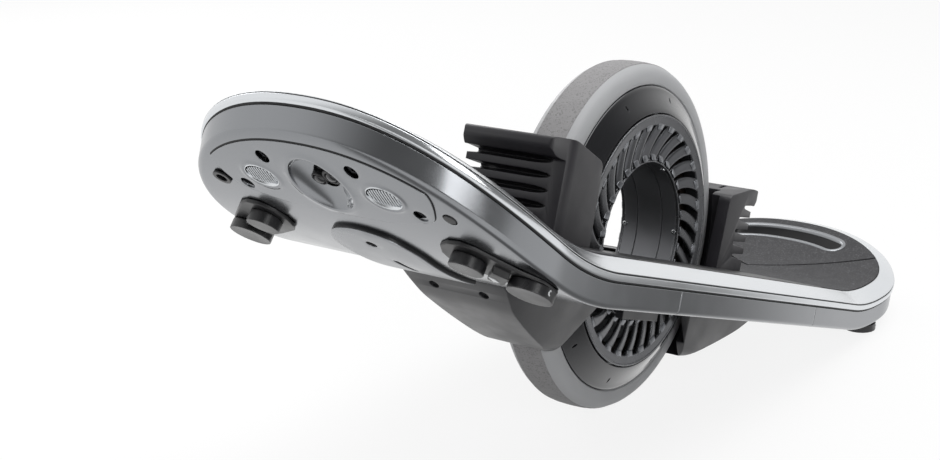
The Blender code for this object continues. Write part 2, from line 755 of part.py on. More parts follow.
def grip_layer(keep_shape, handle=False):
    """Part of the grip layer: the area inside the bevel that keep_shape covers."""
    loops = [deck_outline(BEVEL_INSET + 2 * GAP)]
    if handle:
        loops.append(handle_outline(LINER_WALL + GAP))
    low, high = RIM_LINE + GRIP_LOW, RIM_LINE + GRIP_HIGH
    layer = slab("grip", loops, low, high)
    mask = slab("mask", [keep_shape], low - GRIP_THICKNESS, high + GRIP_THICKNESS)
    return cut(layer, [mask], "INTERSECT")


def make_grips():
    """A pad on each end with a chevron groove across it, and a plain cover along each rail."""
    rise = CHEVRON_APEX_FROM_TIP - CHEVRON_RIM_FROM_TIP
    slope = CHEVRON_HALF_WIDTH / rise
    apex = DECK_HALF_LENGTH - CHEVRON_APEX_FROM_TIP
    half = GROOVE_WIDTH / 2 * math.hypot(1, slope) / slope
    wide = DECK_HALF_WIDTH
    run = wide / slope
    high = RIM_LINE + GRIP_HIGH

    def chevron(shift):
        start = apex + shift
        return [(start + run, -wide), (start, 0), (start + run, wide)]

    pad = grip_layer(rectangle(GRIP_START_X, DECK_HALF_LENGTH + run, -wide, wide), handle=True)
    groove = slab("groove", [chevron(half) + chevron(-half)[::-1]], high - GROOVE_DEPTH, high + GRIP_THICKNESS)
    pad = kick_up(cut(pad, [groove]))
    keep(pad, "tail_grip", "grip_tape")
    mirrored(pad, "nose_grip", along_x=-1)
    edge = GRIP_START_X - COVER_TO_GRIP
    cover = grip_layer(rectangle(-edge, edge, COVER_INNER_Y, wide))
    keep(cover, "left_rail_cover", "black_plastic")
    mirrored(cover, "right_rail_cover", along_y=-1)


def make_handle_liners():
    top = RIM_LINE + GRIP_HIGH + GAP
    floor = top - HANDLE_DEPTH
    inside = floor + LINER_WALL

    def liner(low):
        body = slab("liner", [handle_outline(LINER_WALL)], low, top)
        lip = slab("lip", [handle_outline(LINER_WALL + LIP_WIDTH)], top - JOIN, top + LIP_HEIGHT)
        hollow = slab("hollow", [handle_outline(0)], inside - GAP, top + 2 * LIP_HEIGHT)
        return cut(cut(body, [lip], "UNION"), [hollow])

    keep(kick_up(liner(floor)), "tail_handle_liner", "silver_rim")
    keep(reflect(kick_up(liner(inside)), along_x=-1), "nose_handle_liner", "silver_rim")
    plate = slab("floor", [handle_outline(LINER_WALL)], floor, inside - GAP)
    keep(reflect(kick_up(plate), along_x=-1), "nose_handle_floor", "silver_rim")


def panel_outline(extra):
    """The service panel under the tail: straight towards the wheel, round along the rim."""
    steps = 12
    half = PANEL_HALF_WIDTH + extra
    end = end_angle(half, PANEL_EDGE_INSET - extra)
    edge = [end_point(end * (2 * i / steps - 1), PANEL_EDGE_INSET - extra) for i in range(steps + 1)]
    low = PANEL_INNER_X - extra
    ends = low + PANEL_TAPER
    shoulder_x, shoulder_y = PANEL_SHOULDER
    side = [(ends + shoulder_x, half), (ends, half - shoulder_y), (low, half / 2)]
    return edge + side + [(x, -y) for x, y in reversed(side)]


def oval(centre, radii, steps=16):
    return [(centre[0] + radii[0] * math.cos(2 * HALF_TURN * i / steps),
             centre[1] + radii[1] * math.sin(2 * HALF_TURN * i / steps)) for i in range(steps)]


def panel(speakers):
    """The tail's panel, with the bowl that its lamp sits in."""
    low = UNDERSIDE - PANEL_PROUD
    high = low + PANEL_THICKNESS
    loops = [panel_outline(0)]
    for side in (-1, 1):
        for inset, y in PANEL_SCREWS:
            centre = (DECK_HALF_LENGTH - inset, side * y)
            loops.append(oval(centre, (PANEL_SCREW_RADIUS, PANEL_SCREW_RADIUS), 10))
        if speakers:
            x, y = SPEAKER_CENTRE
            radii = [radius + GAP for radius in SPEAKER_RADII]
            loops.append(oval((x, side * y), radii))
    plate = slab("panel", loops, low, high)
    centre = (SCOOP_X, 0, low - GAP)
    bowl = ball("bowl", [radius + SCOOP_WALL for radius in SCOOP_RADII], centre, 16, 8)
    room = ball("room", SCOOP_RADII, centre, 16, 8)
    above = box("above", (FAR, FAR, FAR), (SCOOP_X, 0, (low + high + FAR) / 2))
    plate = cut(cut(plate, [cut(bowl, [above], "INTERSECT")], "UNION"), [room])
    lamp_hole = cylinder("lamp_hole", LAMP_RADIUS + GAP, low, low + FAR, 16, (LAMP_X, 0))
    return kick_up(cut(plate, [lamp_hole]))


def make_panels():
    keep(reflect(panel(speakers=True), along_x=-1), "nose_panel", "satin_shell")
    keep(panel(speakers=False), "tail_panel", "satin_shell")


def make_lamps():
    """A lamp with a domed lens, set into each scoop from behind."""
    back = UNDERSIDE - PANEL_PROUD + SCOOP_RADII[2] + LAMP_BACK
    face = back - LAMP_LENGTH
    lens = ball("lens", (LAMP_RADIUS, LAMP_RADIUS, LAMP_DOME), (LAMP_X, 0, face), 16, 8)
    body = cylinder("body", LAMP_RADIUS - JOIN, face, back, 16, (LAMP_X, 0))
    lamp = kick_up(cut(lens, [body], "UNION"))
    keep(lamp, "tail_lamp", "lamp_glass")
    mirrored(lamp, "nose_lamp", along_x=-1)


def make_speakers():
    """A slatted grille in each side of the nose panel, and the speaker behind it."""
    x, y = SPEAKER_CENTRE
    short, long = SPEAKER_RADII
    low = UNDERSIDE - PANEL_PROUD - SPEAKER_PROUD
    high = low + SPEAKER_THICKNESS
    loops = [oval((x, y), SPEAKER_RADII)]
    pitch = 2 * long * SPEAKER_SLAT_SPAN / SPEAKER_SLATS
    for i in range(SPEAKER_SLATS):
        offset = pitch * (i - (SPEAKER_SLATS - 1) / 2)
        reach = short * math.sqrt(1 - (offset / long) ** 2) - SPEAKER_FRAME
        slat = y + offset
        loops.append(rectangle(x - reach, x + reach,
                               slat - SPEAKER_SLAT_GAP / 2, slat + SPEAKER_SLAT_GAP / 2))
    grille = reflect(kick_up(slab("grille", loops, low, high)), along_x=-1)
    keep(grille, "nose_left_grille", "satin_shell")
    mirrored(grille, "nose_right_grille", along_y=-1)
    driver = cylinder("driver", DRIVER_RADIUS, high + GAP, high + GAP + DRIVER_HEIGHT, 16, (x, y))
    driver = reflect(kick_up(driver), along_x=-1)
    keep(driver, "nose_left_speaker", "black_plastic")
    mirrored(driver, "nose_right_speaker", along_y=-1)


def local_frame(x, y):
    """A frame on the tail's underside: its Z axis is square to the kicked surface, pointing in."""
    step = 1 * MM
    slope = math.atan2(kick_height(x + step) - kick_height(x - step), 2 * step)
    place = Vector((x, y, UNDERSIDE + kick_height(x)))
    return Matrix.Translation(place) @ Matrix.Rotation(-slope, 4, "Y")


def at_nose(matrix):
    """The same frame on the nose, by a half turn about Z, which keeps a round piece as it is."""
    return Matrix.Rotation(HALF_TURN, 4, "Z") @ matrix


def tray():
    """The whole lower shell as one tray, before the well and the seams are cut."""
    levels = [(SHELL_INSET, -BAND_DEPTH - GAP), (SHELL_INSET, -SHELL_SIDE_DEPTH + SHELL_ROUND / 5),
              (SHELL_INSET + SHELL_ROUND / 3, -SHELL_DEPTH + SHELL_ROUND / 8),
              (SHELL_INSET + SHELL_ROUND, -SHELL_DEPTH)]
    shell = loft("tray", rings(levels), close_last=True)
    wall = shell.modifiers.new("wall", "SOLIDIFY")
    wall.thickness = SHELL_WALL
    wall.offset = -1
    wall.use_even_offset = True
    bpy.context.view_layer.update()
    return freeze(shell)


def end_shell():
    """The tail's lower shell, with the wall that closes the wheel well's end."""
    length = DECK_HALF_LENGTH + FAR - SEAM_X
    area = box("area", (length, 2 * (DECK_HALF_WIDTH + FAR), 2 * FAR),
               (SEAM_X + GAP / 2 + length / 2, 0, 0))
    well = box("well", (2 * WELL_HALF_LENGTH, 2 * (WELL_HALF_WIDTH + GAP), FAR), (0, 0, RIM_LINE))
    shell = cut(cut(tray(), [area], "INTERSECT"), [well])
    low = UNDERSIDE + SHELL_WALL / 3
    high = RIM_LINE + PLATE_LOW - GAP
    wall = box("wall", (SHELL_WALL, 2 * WELL_HALF_WIDTH, high - low),
               (WELL_HALF_LENGTH + SHELL_WALL / 2 + JOIN, 0, (high + low) / 2))
    shell = cut(shell, [wall], "UNION")
    recess_top = UNDERSIDE - PANEL_PROUD + PANEL_THICKNESS + GAP
    opening = slab("opening", [panel_outline(-PANEL_LAP)],
                   UNDERSIDE - SHELL_WALL, UNDERSIDE + 2 * SHELL_WALL)
    recess = slab("recess", [panel_outline(GAP)], UNDERSIDE - SHELL_WALL, recess_top)
    return kick_up(cut(shell, [opening, recess]))


def port_holes():
    """The holes for the button and the inlet, in the tail shell's place before it is turned."""
    holes = []
    for side, radius in ((1, BUTTON_RADIUS + GAP), (-1, INLET_RADIUS - INLET_FLANGE + GAP)):
        hole = cylinder("hole", radius, -2 * SHELL_WALL, 2 * SHELL_WALL, 16)
        hole.data.transform(local_frame(PORT_X, side * PORT_Y))
        holes.append(hole)
    return holes


def make_shells():
    nose = cut(end_shell(), port_holes())
    nose.data.transform(Matrix.Rotation(HALF_TURN, 4, "Z"))
    keep(nose, "nose_shell", "satin_shell")
    keep(end_shell(), "tail_shell", "satin_shell")
    width = DECK_HALF_WIDTH + FAR
    area = box("area", (2 * SEAM_X - GAP, width, 2 * FAR),
               (0, WELL_HALF_WIDTH + GAP + width / 2, 0))
    rail = cut(tray(), [area], "INTERSECT")
    keep(rail, "left_rail_shell", "satin_shell")
    mirrored(rail, "right_rail_shell", along_y=-1)


def make_hub_beams():
    """A beam along each side of the wheel well, with a saddle that reaches into the hub's bore."""
    low = UNDERSIDE
    high = RIM_LINE + PLATE_LOW - GAP
    inner = HUB_HALF_WIDTH + 2 * GAP
    outer = WELL_HALF_WIDTH
    side = outer - BEAM_THICKNESS / 6
    beam = box("beam", (2 * (WELL_HALF_LENGTH - GAP), BEAM_THICKNESS, high - low),
               (0, outer - BEAM_THICKNESS / 2, (high + low) / 2))
    radius = BORE_RADIUS - GAP
    steps = 8
    angles = [SADDLE_HALF_ANGLE * (2 * i / steps - 1) - HALF_TURN / 2 for i in range(steps + 1)]
    arc = [(radius * math.cos(angle), radius * math.sin(angle)) for angle in angles]
    shrink = 1 - SADDLE_THICKNESS / radius
    inner_arc = [(x * shrink, z * shrink) for x, z in reversed(arc)]
    reach = face_height(BORE_RADIUS) - SADDLE_REACH
    saddle = side_slab("saddle", arc + inner_arc, (side - reach) / 2)
    saddle.data.transform(Matrix.Translation((0, (side + reach) / 2, 0)))
    middle = (side + inner) / 2
    foot = box("foot", (BEAM_FOOT_LENGTH, side - inner, BEAM_FOOT_HEIGHT),
               (0, middle, low + BEAM_FOOT_HEIGHT / 2))
    neck_low = min(z for x, z in arc)
    neck_high = low + BEAM_THICKNESS
    neck = box("neck", (BEAM_NECK_LENGTH, side - inner, neck_high - neck_low),
               (0, middle, (neck_high + neck_low) / 2))
    beam = cut(beam, [foot, neck, saddle], "UNION")
    keep(beam, "left_hub_beam", "cast_metal")
    mirrored(beam, "right_hub_beam", along_y=-1)


# Foot stops and fenders

def stop_outline():
    """The stop's side view: leaning towards the rider, with a thick lip at its top."""
    base = RIM_LINE + PLATE_HIGH + GAP
    return [(STOP_TIP_X, base), (STOP_TIP_X, STOP_TOP - STOP_LIP_THICKNESS),
            (STOP_LIP_X - 4 * MM, STOP_TOP - STOP_LIP_THICKNESS), (STOP_LIP_X, STOP_TOP - 5 * MM),
            (STOP_LIP_X - 3 * MM, STOP_TOP - 1 * MM), (STOP_TIP_X - 2 * MM, STOP_TOP),
            (STOP_INNER_X + 4 * MM, STOP_TOP - STOP_TOP_DROP), (STOP_INNER_X, base)]


def stop_grooves():
    """Five level grooves under the lip: open at one side, where they are deepest, and closed at the other."""
    grooves = []
    shallow = STOP_TIP_X - STOP_GROOVE_DEPTH
    closed = STOP_HALF_WIDTH - STOP_CHAMFER
    for i, extra in enumerate(STOP_GROOVE_EXTRA):
        z = STOP_TOP - STOP_LIP_THICKNESS - STOP_GROOVE_HEIGHT / 2 - i * STOP_PITCH
        deep = shallow - extra
        plan = [(FAR, -FAR), (deep, -FAR), (deep, -STOP_HALF_WIDTH + STOP_GROOVE_RUN / 2),
                (shallow, -STOP_HALF_WIDTH + STOP_GROOVE_RUN), (shallow, closed - STOP_GROOVE_RUN),
                (STOP_TIP_X, closed), (FAR, closed)]
        grooves.append(slab("groove", [plan[::-1]], z - STOP_GROOVE_HEIGHT / 2, z + STOP_GROOVE_HEIGHT / 2))
    return grooves


def make_foot_stops():
    stop = side_slab("stop", stop_outline(), STOP_HALF_WIDTH)
    half = STOP_HALF_WIDTH - GAP
    plan = [(0, -half), (STOP_LIP_X + GAP, -half), (STOP_LIP_X + GAP, half - STOP_CHAMFER),
            (STOP_LIP_X - STOP_CHAMFER, half), (0, half)]
    mask = slab("mask", [plan], RIM_LINE, STOP_TOP + FAR)
    stop = cut(cut(stop, [mask], "INTERSECT"), [wheel_space()] + stop_grooves())
    keep(stop, "tail_foot_stop", "black_plastic")
    mirrored(stop, "nose_foot_stop", along_x=-1, along_y=-1)


def make_fenders():
    top = UNDERSIDE - GAP
    tip = top - FENDER_DROP
    outline = [(FENDER_CHEEK_X, top), (FENDER_CHEEK_X + FENDER_CHEEK_RUN, top - FENDER_CHEEK_DROP),
               (FENDER_TIP_X - FENDER_TIP_FLAT, tip), (FENDER_TIP_X, tip),
               (FENDER_KNEE_X, top - FENDER_KNEE_DROP), (FENDER_END_X, top)]
    fender = side_slab("fender", outline, STOP_HALF_WIDTH)
    half = STOP_HALF_WIDTH - GAP
    side = [(half, top + GAP), (half, top - FENDER_SIDE_DROP), (half - FENDER_TIP_INSET, tip - GAP)]
    section = side + [(-y, z) for y, z in reversed(side)]
    mask = slab("mask", [section[::-1]], -FENDER_END_X - FAR, FENDER_END_X + FAR)
    upright = Matrix.Rotation(HALF_TURN / 2, 4, "Z") @ Matrix.Rotation(HALF_TURN / 2, 4, "X")
    mask.data.transform(upright)
    fender = cut(fender, [mask], "INTERSECT")
    recesses = []
    fall = math.atan2(FENDER_KNEE_DROP, FENDER_KNEE_RUN)
    for side in (-1, 1):
        hole = cylinder("recess", FENDER_SCREW_RADIUS, -FENDER_KNEE_DROP, FENDER_SCREW_DEPTH, 12)
        middle = Vector((FENDER_END_X - FENDER_KNEE_RUN / 2, side * FENDER_SCREW_Y,
                         top - FENDER_KNEE_DROP / 2))
        hole.data.transform(Matrix.Translation(middle) @ Matrix.Rotation(-fall, 4, "Y"))
        recesses.append(hole)
    fender = cut(fender, [wheel_space()] + recesses)
    keep(fender, "tail_fender", "black_plastic")
    mirrored(fender, "nose_fender", along_x=-1)


# Skid pads

def skid_body(low):
    """Everything of the deck that lies above a height under its underside."""
    return kick_up(slab("above", [deck_outline(-SHELL_DEPTH)], low, RIM_LINE))


def floor_place(x, y):
    """The point of the pads' plane under (x, y) of the underside."""
    down = Vector((math.sin(TILT), 0, -math.cos(TILT)))
    point = Vector((x, y, UNDERSIDE + kick_height(x)))
    return point + down * (TYRE_RADIUS - point.dot(down))


def skid_outline():
    """An outline round both pucks of a corner."""
    inner_x, inner_y, inner_r = PUCKS["inner"]
    outer_x, outer_y, outer_r = PUCKS["outer"]
    along = math.atan2(outer_y - inner_y, outer_x - inner_x)
    steps = 6
    points = []
    for x, y, radius, start in ((inner_x, inner_y, inner_r + SKID_MARGIN, along + HALF_TURN / 2),
                                (outer_x, outer_y, outer_r, along - HALF_TURN / 2)):
        for i in range(steps + 1):
            angle = start + HALF_TURN * i / steps
            points.append((x + radius * math.cos(angle), y + radius * math.sin(angle)))
    return points


def skid_block(low):
    """The stop block that fills the room between the two pucks."""
    inner_x, inner_y, inner_r = PUCKS["inner"]
    outer_x, outer_y, outer_r = PUCKS["outer"]
    inner = Vector((inner_x, inner_y, 0))
    line = Vector((outer_x, outer_y, 0)) - inner
    room = line.length - inner_r - outer_r
    middle = inner + line.normalized() * (inner_r + room / 2)
    lap = SKID_THICKNESS / 3
    block = box("block", (room - 2 * BLOCK_CLEARANCE, BLOCK_WIDTH, BLOCK_DROP + lap),
                (0, 0, low - (BLOCK_DROP - lap) / 2))
    turn = Matrix.Rotation(math.atan2(line.y, line.x), 4, "Z")
    block.data.transform(Matrix.Translation(middle) @ turn)
    return block


def make_skids():
    """A plate with a block under each corner, and two pucks cut flat in the plane of the floor."""
    low = UNDERSIDE - GAP - SKID_THICKNESS
    plate = slab("skid", [skid_outline()], low, UNDERSIDE - GAP)
    edge = slab("edge", [deck_outline(SHELL_INSET + SKID_EDGE_INSET)],
                low - 2 * BLOCK_DROP, UNDERSIDE + SKID_THICKNESS)
    plate = kick_up(cut(cut(plate, [skid_block(low)], "UNION"), [edge], "INTERSECT"))
    keep(plate, "tail_left_skid", "black_plastic")
    mirrored(plate, "tail_right_skid", along_y=-1)
    mirrored(plate, "nose_left_skid", along_x=-1)
    mirrored(plate, "nose_right_skid", along_x=-1, along_y=-1)
    for label, (x, y, radius) in PUCKS.items():
        puck = cylinder("puck", radius, 0, PAD_STACK + SHELL_DEPTH / 2, 20)
        puck.data.transform(Matrix.Translation(floor_place(x, y)) @ Matrix.Rotation(-TILT, 4, "Y"))
        puck = cut(puck, [skid_body(low - GAP)])
        keep(puck, "tail_left_%s_puck" % label, "black_plastic")
        mirrored(puck, "tail_right_%s_puck" % label, along_y=-1)
        mirrored(puck, "nose_left_%s_puck" % label, along_x=-1)
        mirrored(puck, "nose_right_%s_puck" % label, along_x=-1, along_y=-1)


def make_service_plates():
    last = PANEL_INNER_X - SERVICE_TO_PANEL
    first = last - SERVICE_LENGTH
    half = SERVICE_HALF_WIDTH
    corner = SERVICE_CORNER
    side = [(last - corner / 2, half - corner), (last - 2 * corner, half), (first, half)]
    loop = [(x, -y) for x, y in reversed(side)] + [(last, 0)] + side
    hole = oval((last - SERVICE_HOLE_INSET, 0), (SERVICE_HOLE_RADIUS, SERVICE_HOLE_RADIUS), 12)
    slot_x = last - SERVICE_SLOT_INSET
    length, width = SERVICE_SLOT_SIZE
    slot = rectangle(slot_x - length / 2, slot_x + length / 2, -width / 2, width / 2)
    low = UNDERSIDE - GAP - SERVICE_THICKNESS
    plate = kick_up(slab("plate", [loop, hole, slot], low, UNDERSIDE - GAP))
    keep(plate, "tail_service_plate", "satin_shell")
    mirrored(plate, "nose_service_plate", along_x=-1)


# Button, inlet and inner parts

def make_button():
    """The button and the switch behind it, on the rider's right of the nose."""
    place = at_nose(local_frame(PORT_X, PORT_Y))
    face = -BUTTON_PROUD
    button = cylinder("power_button", BUTTON_RADIUS, face, face + BUTTON_HEIGHT, 16)
    keep(button, "power_button", "black_plastic").matrix_world = place
    length, width, height = SWITCH_SIZE
    low = face + BUTTON_HEIGHT + BUTTON_TRAVEL + GAP
    high = low + height
    seat = SHELL_WALL + GAP
    switch = box("power_switch", SWITCH_SIZE, (0, 0, low + height / 2))
    arm = (width + SWITCH_LEG) / 2
    legs = [box("leg", (length, SWITCH_LEG + JOIN, high - seat), (0, side * arm, (high + seat) / 2))
            for side in (-1, 1)]
    switch = cut(switch, legs, "UNION")
    keep(switch, "power_switch", "black_plastic", smooth=False).matrix_world = place


def make_inlet():
    """The charging inlet on the rider's left: a flanged socket with a blind pocket."""
    place = at_nose(local_frame(PORT_X, -PORT_Y))
    flange_low = -GAP - INLET_FLANGE_THICKNESS
    inlet = cylinder("inlet", INLET_RADIUS - INLET_FLANGE, -GAP, INLET_HEIGHT, 16)
    flange = cylinder("flange", INLET_RADIUS, flange_low, -GAP, 20)
    pocket = cylinder("pocket", INLET_POCKET_RADIUS, 2 * flange_low, INLET_HEIGHT - INLET_END_WALL, 12)
    inlet = cut(cut(inlet, [flange], "UNION"), [pocket])
    keep(inlet, "charge_inlet", "black_plastic").matrix_world = place


def make_electronics():
    """The battery behind the wheel and the motor controller before it, on the shells' floor."""
    level = RIM_LINE + SHELL_FLOOR + GAP
    start = WELL_HALF_LENGTH + SHELL_WALL + WELL_WALL_CLEARANCE
    floor = level + kick_height(start + BATTERY_LENGTH)
    height = RIM_LINE + PLATE_LOW - BATTERY_HEADROOM - floor
    size = (BATTERY_LENGTH, 2 * (DECK_HALF_WIDTH - BATTERY_TO_SIDE), height)
    battery = box("battery", size, (start + BATTERY_LENGTH / 2, 0, floor + height / 2))
    keep(soften(battery, 3 * MM), "battery_pack", "battery_wrap")
    length, width, height = CONTROLLER_SIZE
    floor = level + kick_height(start + length)
    controller = box("controller", CONTROLLER_SIZE, (-start - length / 2, 0, floor + height / 2))
    keep(soften(controller, 1.5 * MM), "motor_controller", "cast_metal")


def stand_on_floor():
    """Tips the board to rest and puts the middle of its footprint at the world's origin."""
    frame = bpy.data.objects.new("board_frame", None)
    bpy.context.scene.collection.objects.link(frame)
    frame.rotation_euler.y = TILT
    for obj in board_parts.objects:
        obj.parent = frame
    bpy.context.view_layer.update()
    points = np.vstack([[obj.matrix_world @ vert.co for vert in obj.data.vertices]
                        for obj in board_parts.objects])
    low, high = points.min(axis=0), points.max(axis=0)
    frame.location = (-(low[0] + high[0]) / 2, -(low[1] + high[1]) / 2, -low[2])
    bpy.context.view_layer.update()
    return frame


def main():
    clear_scene()
    make_tyre()
    make_rotor()
    for name, side in (("left", 1), ("right", -1)):
        make_face_plate(name + "_face_plate", side)
        make_bearing(name + "_hub_bearing", side)
        make_louvre_ring(name + "_louvre_ring", side)
    make_stator()
    make_rim()
    make_deck_plate()
    make_grips()
    make_handle_liners()
    make_shells()
    make_hub_beams()
    make_panels()
    make_lamps()
    make_speakers()
    make_foot_stops()
    make_fenders()
    make_skids()
    make_service_plates()
    make_button()
    make_inlet()
    make_electronics()
    stand_on_floor()


main()
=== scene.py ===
"""Finishes, fine shapes, small parts and a studio for a one-wheeled electric skateboard.

The board is drawn in its own frame, as its maker would: the wheel's centre is the origin, +X runs
towards the tail, +Y to the rider's left and +Z up from a level deck. BOARD then tips it to rest.
Sizes and places are millimetres, and finished meshes and matrices are metres.
"""

import json
import math
from functools import partial

import bmesh
import bpy
import numpy as np
from bpy.props import FloatProperty, FloatVectorProperty, IntProperty, PointerProperty
from mathutils import Matrix, Vector
from mathutils.geometry import delaunay_2d_cdt


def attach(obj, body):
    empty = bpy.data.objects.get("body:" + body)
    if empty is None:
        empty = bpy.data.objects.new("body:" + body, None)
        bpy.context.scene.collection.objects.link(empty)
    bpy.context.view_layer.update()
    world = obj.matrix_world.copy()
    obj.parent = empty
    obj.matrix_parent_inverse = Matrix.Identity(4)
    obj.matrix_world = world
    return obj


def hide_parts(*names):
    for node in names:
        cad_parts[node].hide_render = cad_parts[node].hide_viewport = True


bl_info = {
    "name": "One-wheeled skateboard dressing",
    "version": (1, 0, 0),
    "blender": (4, 5, 0),
    "location": "View3D > Sidebar > Skateboard",
    "description": "Finishes, small parts and a studio for a one-wheeled electric skateboard",
    "category": "Object",
}

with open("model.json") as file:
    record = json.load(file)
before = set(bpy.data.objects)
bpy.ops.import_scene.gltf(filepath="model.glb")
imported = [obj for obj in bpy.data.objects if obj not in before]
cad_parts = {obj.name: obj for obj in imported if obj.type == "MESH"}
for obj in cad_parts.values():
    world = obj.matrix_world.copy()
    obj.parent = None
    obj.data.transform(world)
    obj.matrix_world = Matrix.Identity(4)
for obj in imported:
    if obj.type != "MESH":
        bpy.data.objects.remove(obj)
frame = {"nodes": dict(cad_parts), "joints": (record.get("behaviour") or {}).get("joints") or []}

MM = 0.001
TURN = 2 * math.pi
REST_TILT = math.radians(19.067720)
PHOTO_TILT = math.radians(16.0)
SPIN = next(joint for joint in frame["joints"] if joint["name"] == "wheel_spin")
WHEEL_CENTRE = Vector(SPIN["pos_m"])
BOARD = Matrix.Translation(WHEEL_CENTRE) @ Matrix.Rotation(REST_TILT, 4, "Y")
ENDS = (("tail", 1), ("nose", -1))

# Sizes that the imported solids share
TYRE_RADIUS = 160
TYRE_HALF_WIDTH = 23
RIM_RADIUS = 140
HUB_RADIUS = 115.5
HUB_HALF_WIDTH = 35.4
HUB_DISH = 4.7
BORE_RADIUS = 71.5
DECK_HALF_LENGTH = 471
DECK_HALF_WIDTH = 150
STRAIGHT_HALF_LENGTH = 343
END_EXPONENT = 2.2
KICK_START = 257
KICK = 80 / 214 ** 2
RIM_LINE = -24
UNDERSIDE = -52
SEAM_X = 150
WELL_HALF_LENGTH = 170
WELL_HALF_WIDTH = 44
GAP = 0.3


# Drawing helpers

def linear(hex_colour):
    """An sRGB hex colour as linear red, green, blue and alpha."""
    channels = [int(hex_colour[i:i + 2], 16) / 255 for i in (1, 3, 5)]
    return tuple(c / 12.92 if c <= 0.04045 else ((c + 0.055) / 1.055) ** 2.4 for c in channels) + (1.0,)


def link(name, data):
    obj = bpy.data.objects.new(name, data)
    bpy.context.scene.collection.objects.link(obj)
    return obj


def mesh_of(name, verts, faces):
    mesh = bpy.data.meshes.new(name)
    mesh.from_pydata([tuple(c * MM for c in vert) for vert in verts], [], [tuple(face) for face in faces])
    mesh.validate()
    return mesh


def joined(meshes):
    """Several meshes as one."""
    edit = bmesh.new()
    for mesh in meshes:
        edit.from_mesh(mesh)
    result = bpy.data.meshes.new("joined")
    edit.to_mesh(result)
    edit.free()
    return result


def cleaned(mesh, outward=False, distance=1e-6):
    """Merges doubled points, and turns the faces of a closed shape outwards when asked."""
    edit = bmesh.new()
    edit.from_mesh(mesh)
    bmesh.ops.remove_doubles(edit, verts=edit.verts, dist=distance)
    if outward:
        bmesh.ops.recalc_face_normals(edit, faces=edit.faces)
    edit.to_mesh(mesh)
    edit.free()
    return mesh


def frozen(obj):
    """The object's evaluated shape as a plain mesh; the object goes."""
    bpy.context.view_layer.update()
    graph = bpy.context.evaluated_depsgraph_get()
    mesh = bpy.data.meshes.new_from_object(obj.evaluated_get(graph))
    bpy.data.objects.remove(obj, do_unlink=True)
    return mesh


def add_modifier(obj, kind, **settings):
    modifier = obj.modifiers.new(kind.lower(), kind)
    for key, value in settings.items():
        setattr(modifier, key, value)


def modified(mesh, *steps):
    """The mesh after (kind, settings) modifiers."""
    obj = link(mesh.name, mesh)
    for kind, settings in steps:
        add_modifier(obj, kind, **settings)
    return frozen(obj)


def wall(thickness, even=True):
    return "SOLIDIFY", {"thickness": thickness * MM, "offset": -1.0, "use_even_offset": even}


def rounding(width, segments=2, degrees=50):
    return "BEVEL", {"width": width * MM, "segments": segments, "limit_method": "ANGLE",
                     "angle_limit": math.radians(degrees)}


def carved(mesh, *cutters, operation="DIFFERENCE"):
    """The mesh less its cutters."""
    tools = [link("cutter", cutter) for cutter in cutters]
    obj = link(mesh.name, mesh)
    for tool in tools:
        add_modifier(obj, "BOOLEAN", operation=operation, object=tool, solver="EXACT")
    result = frozen(obj)
    for tool in tools:
        bpy.data.objects.remove(tool, do_unlink=True)
    return result


def about(axis, degrees):
    return Matrix.Rotation(math.radians(degrees), 4, axis)


def shift(x, y, z):
    return Matrix.Translation((x * MM, y * MM, z * MM))


def moved(mesh, matrix):
    mesh.transform(matrix)
    return mesh


def mirrored(mesh, along_x=1, along_y=1):
    """A mirror image across the board's middle planes, with its faces still outwards."""
    copy = moved(mesh.copy(), Matrix.Diagonal((along_x, along_y, 1, 1)))
    if along_x * along_y < 0:
        copy.flip_normals()
    return copy


FINISHES = {}
# The record's material slot for each finish
SLOTS = {
    "shell": "satin_shell", "rim": "silver_rim", "grip": "grip_tape", "plastic": "black_plastic",
    "stop": "black_plastic", "fender": "black_plastic", "bead": "puck_rubber", "plate": "satin_shell",
    "tyre": "tyre_rubber", "tread": "tyre_rubber", "face": "dark_metal", "vane": "dark_metal",
    "tip": "dark_metal", "bore": "cast_metal", "screw": "steel", "bolt": "steel", "lens": "lamp_glass",
    "mirror": "silver_rim",
}


def place_piece(name, mesh, finish, *replaced, body="board", slot=None, smooth=35, soft=None):
    """Puts a mesh drawn in the board's frame in its place, with its finish, and lets it ride on a body."""
    if soft:
        mesh = modified(mesh, rounding(soft, 3, 40))
    mesh.transform(BOARD)
    mesh.name = name
    mesh.materials.clear()
    mesh.materials.append(FINISHES[finish])
    mesh.shade_smooth()
    mesh.set_sharp_from_angle(angle=math.radians(smooth))
    obj = link(name, mesh)
    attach(obj, body)
    slot = slot or SLOTS[finish]
    if replaced:
        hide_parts(*replaced)


def loft(name, rows, around=False, closed_rows=True, capped=False):
    """Quads between rows of points; around joins the last row to the first, capped closes both ends."""
    rows = [np.asarray(row, float) for row in rows]
    count = len(rows[0])
    faces = []
    for i in range(len(rows) if around else len(rows) - 1):
        near, far = i * count, (i + 1) % len(rows) * count
        for j in range(count if closed_rows else count - 1):
            k = (j + 1) % count
            faces.append((near + j, near + k, far + k, far + j))
    if capped:
        faces += [tuple(range(count))[::-1], tuple(range((len(rows) - 1) * count, len(rows) * count))]
    return mesh_of(name, np.vstack(rows), faces)


def solid(name, rows, around=False):
    """A closed shape through the rows: a ring when around, else with both ends filled."""
    return cleaned(loft(name, rows, around, capped=not around), outward=True)


def both_ways(half):
    """A profile of (radius, y) and its mirror image across the middle."""
    return half + [(r, -y) for r, y in reversed(half)]


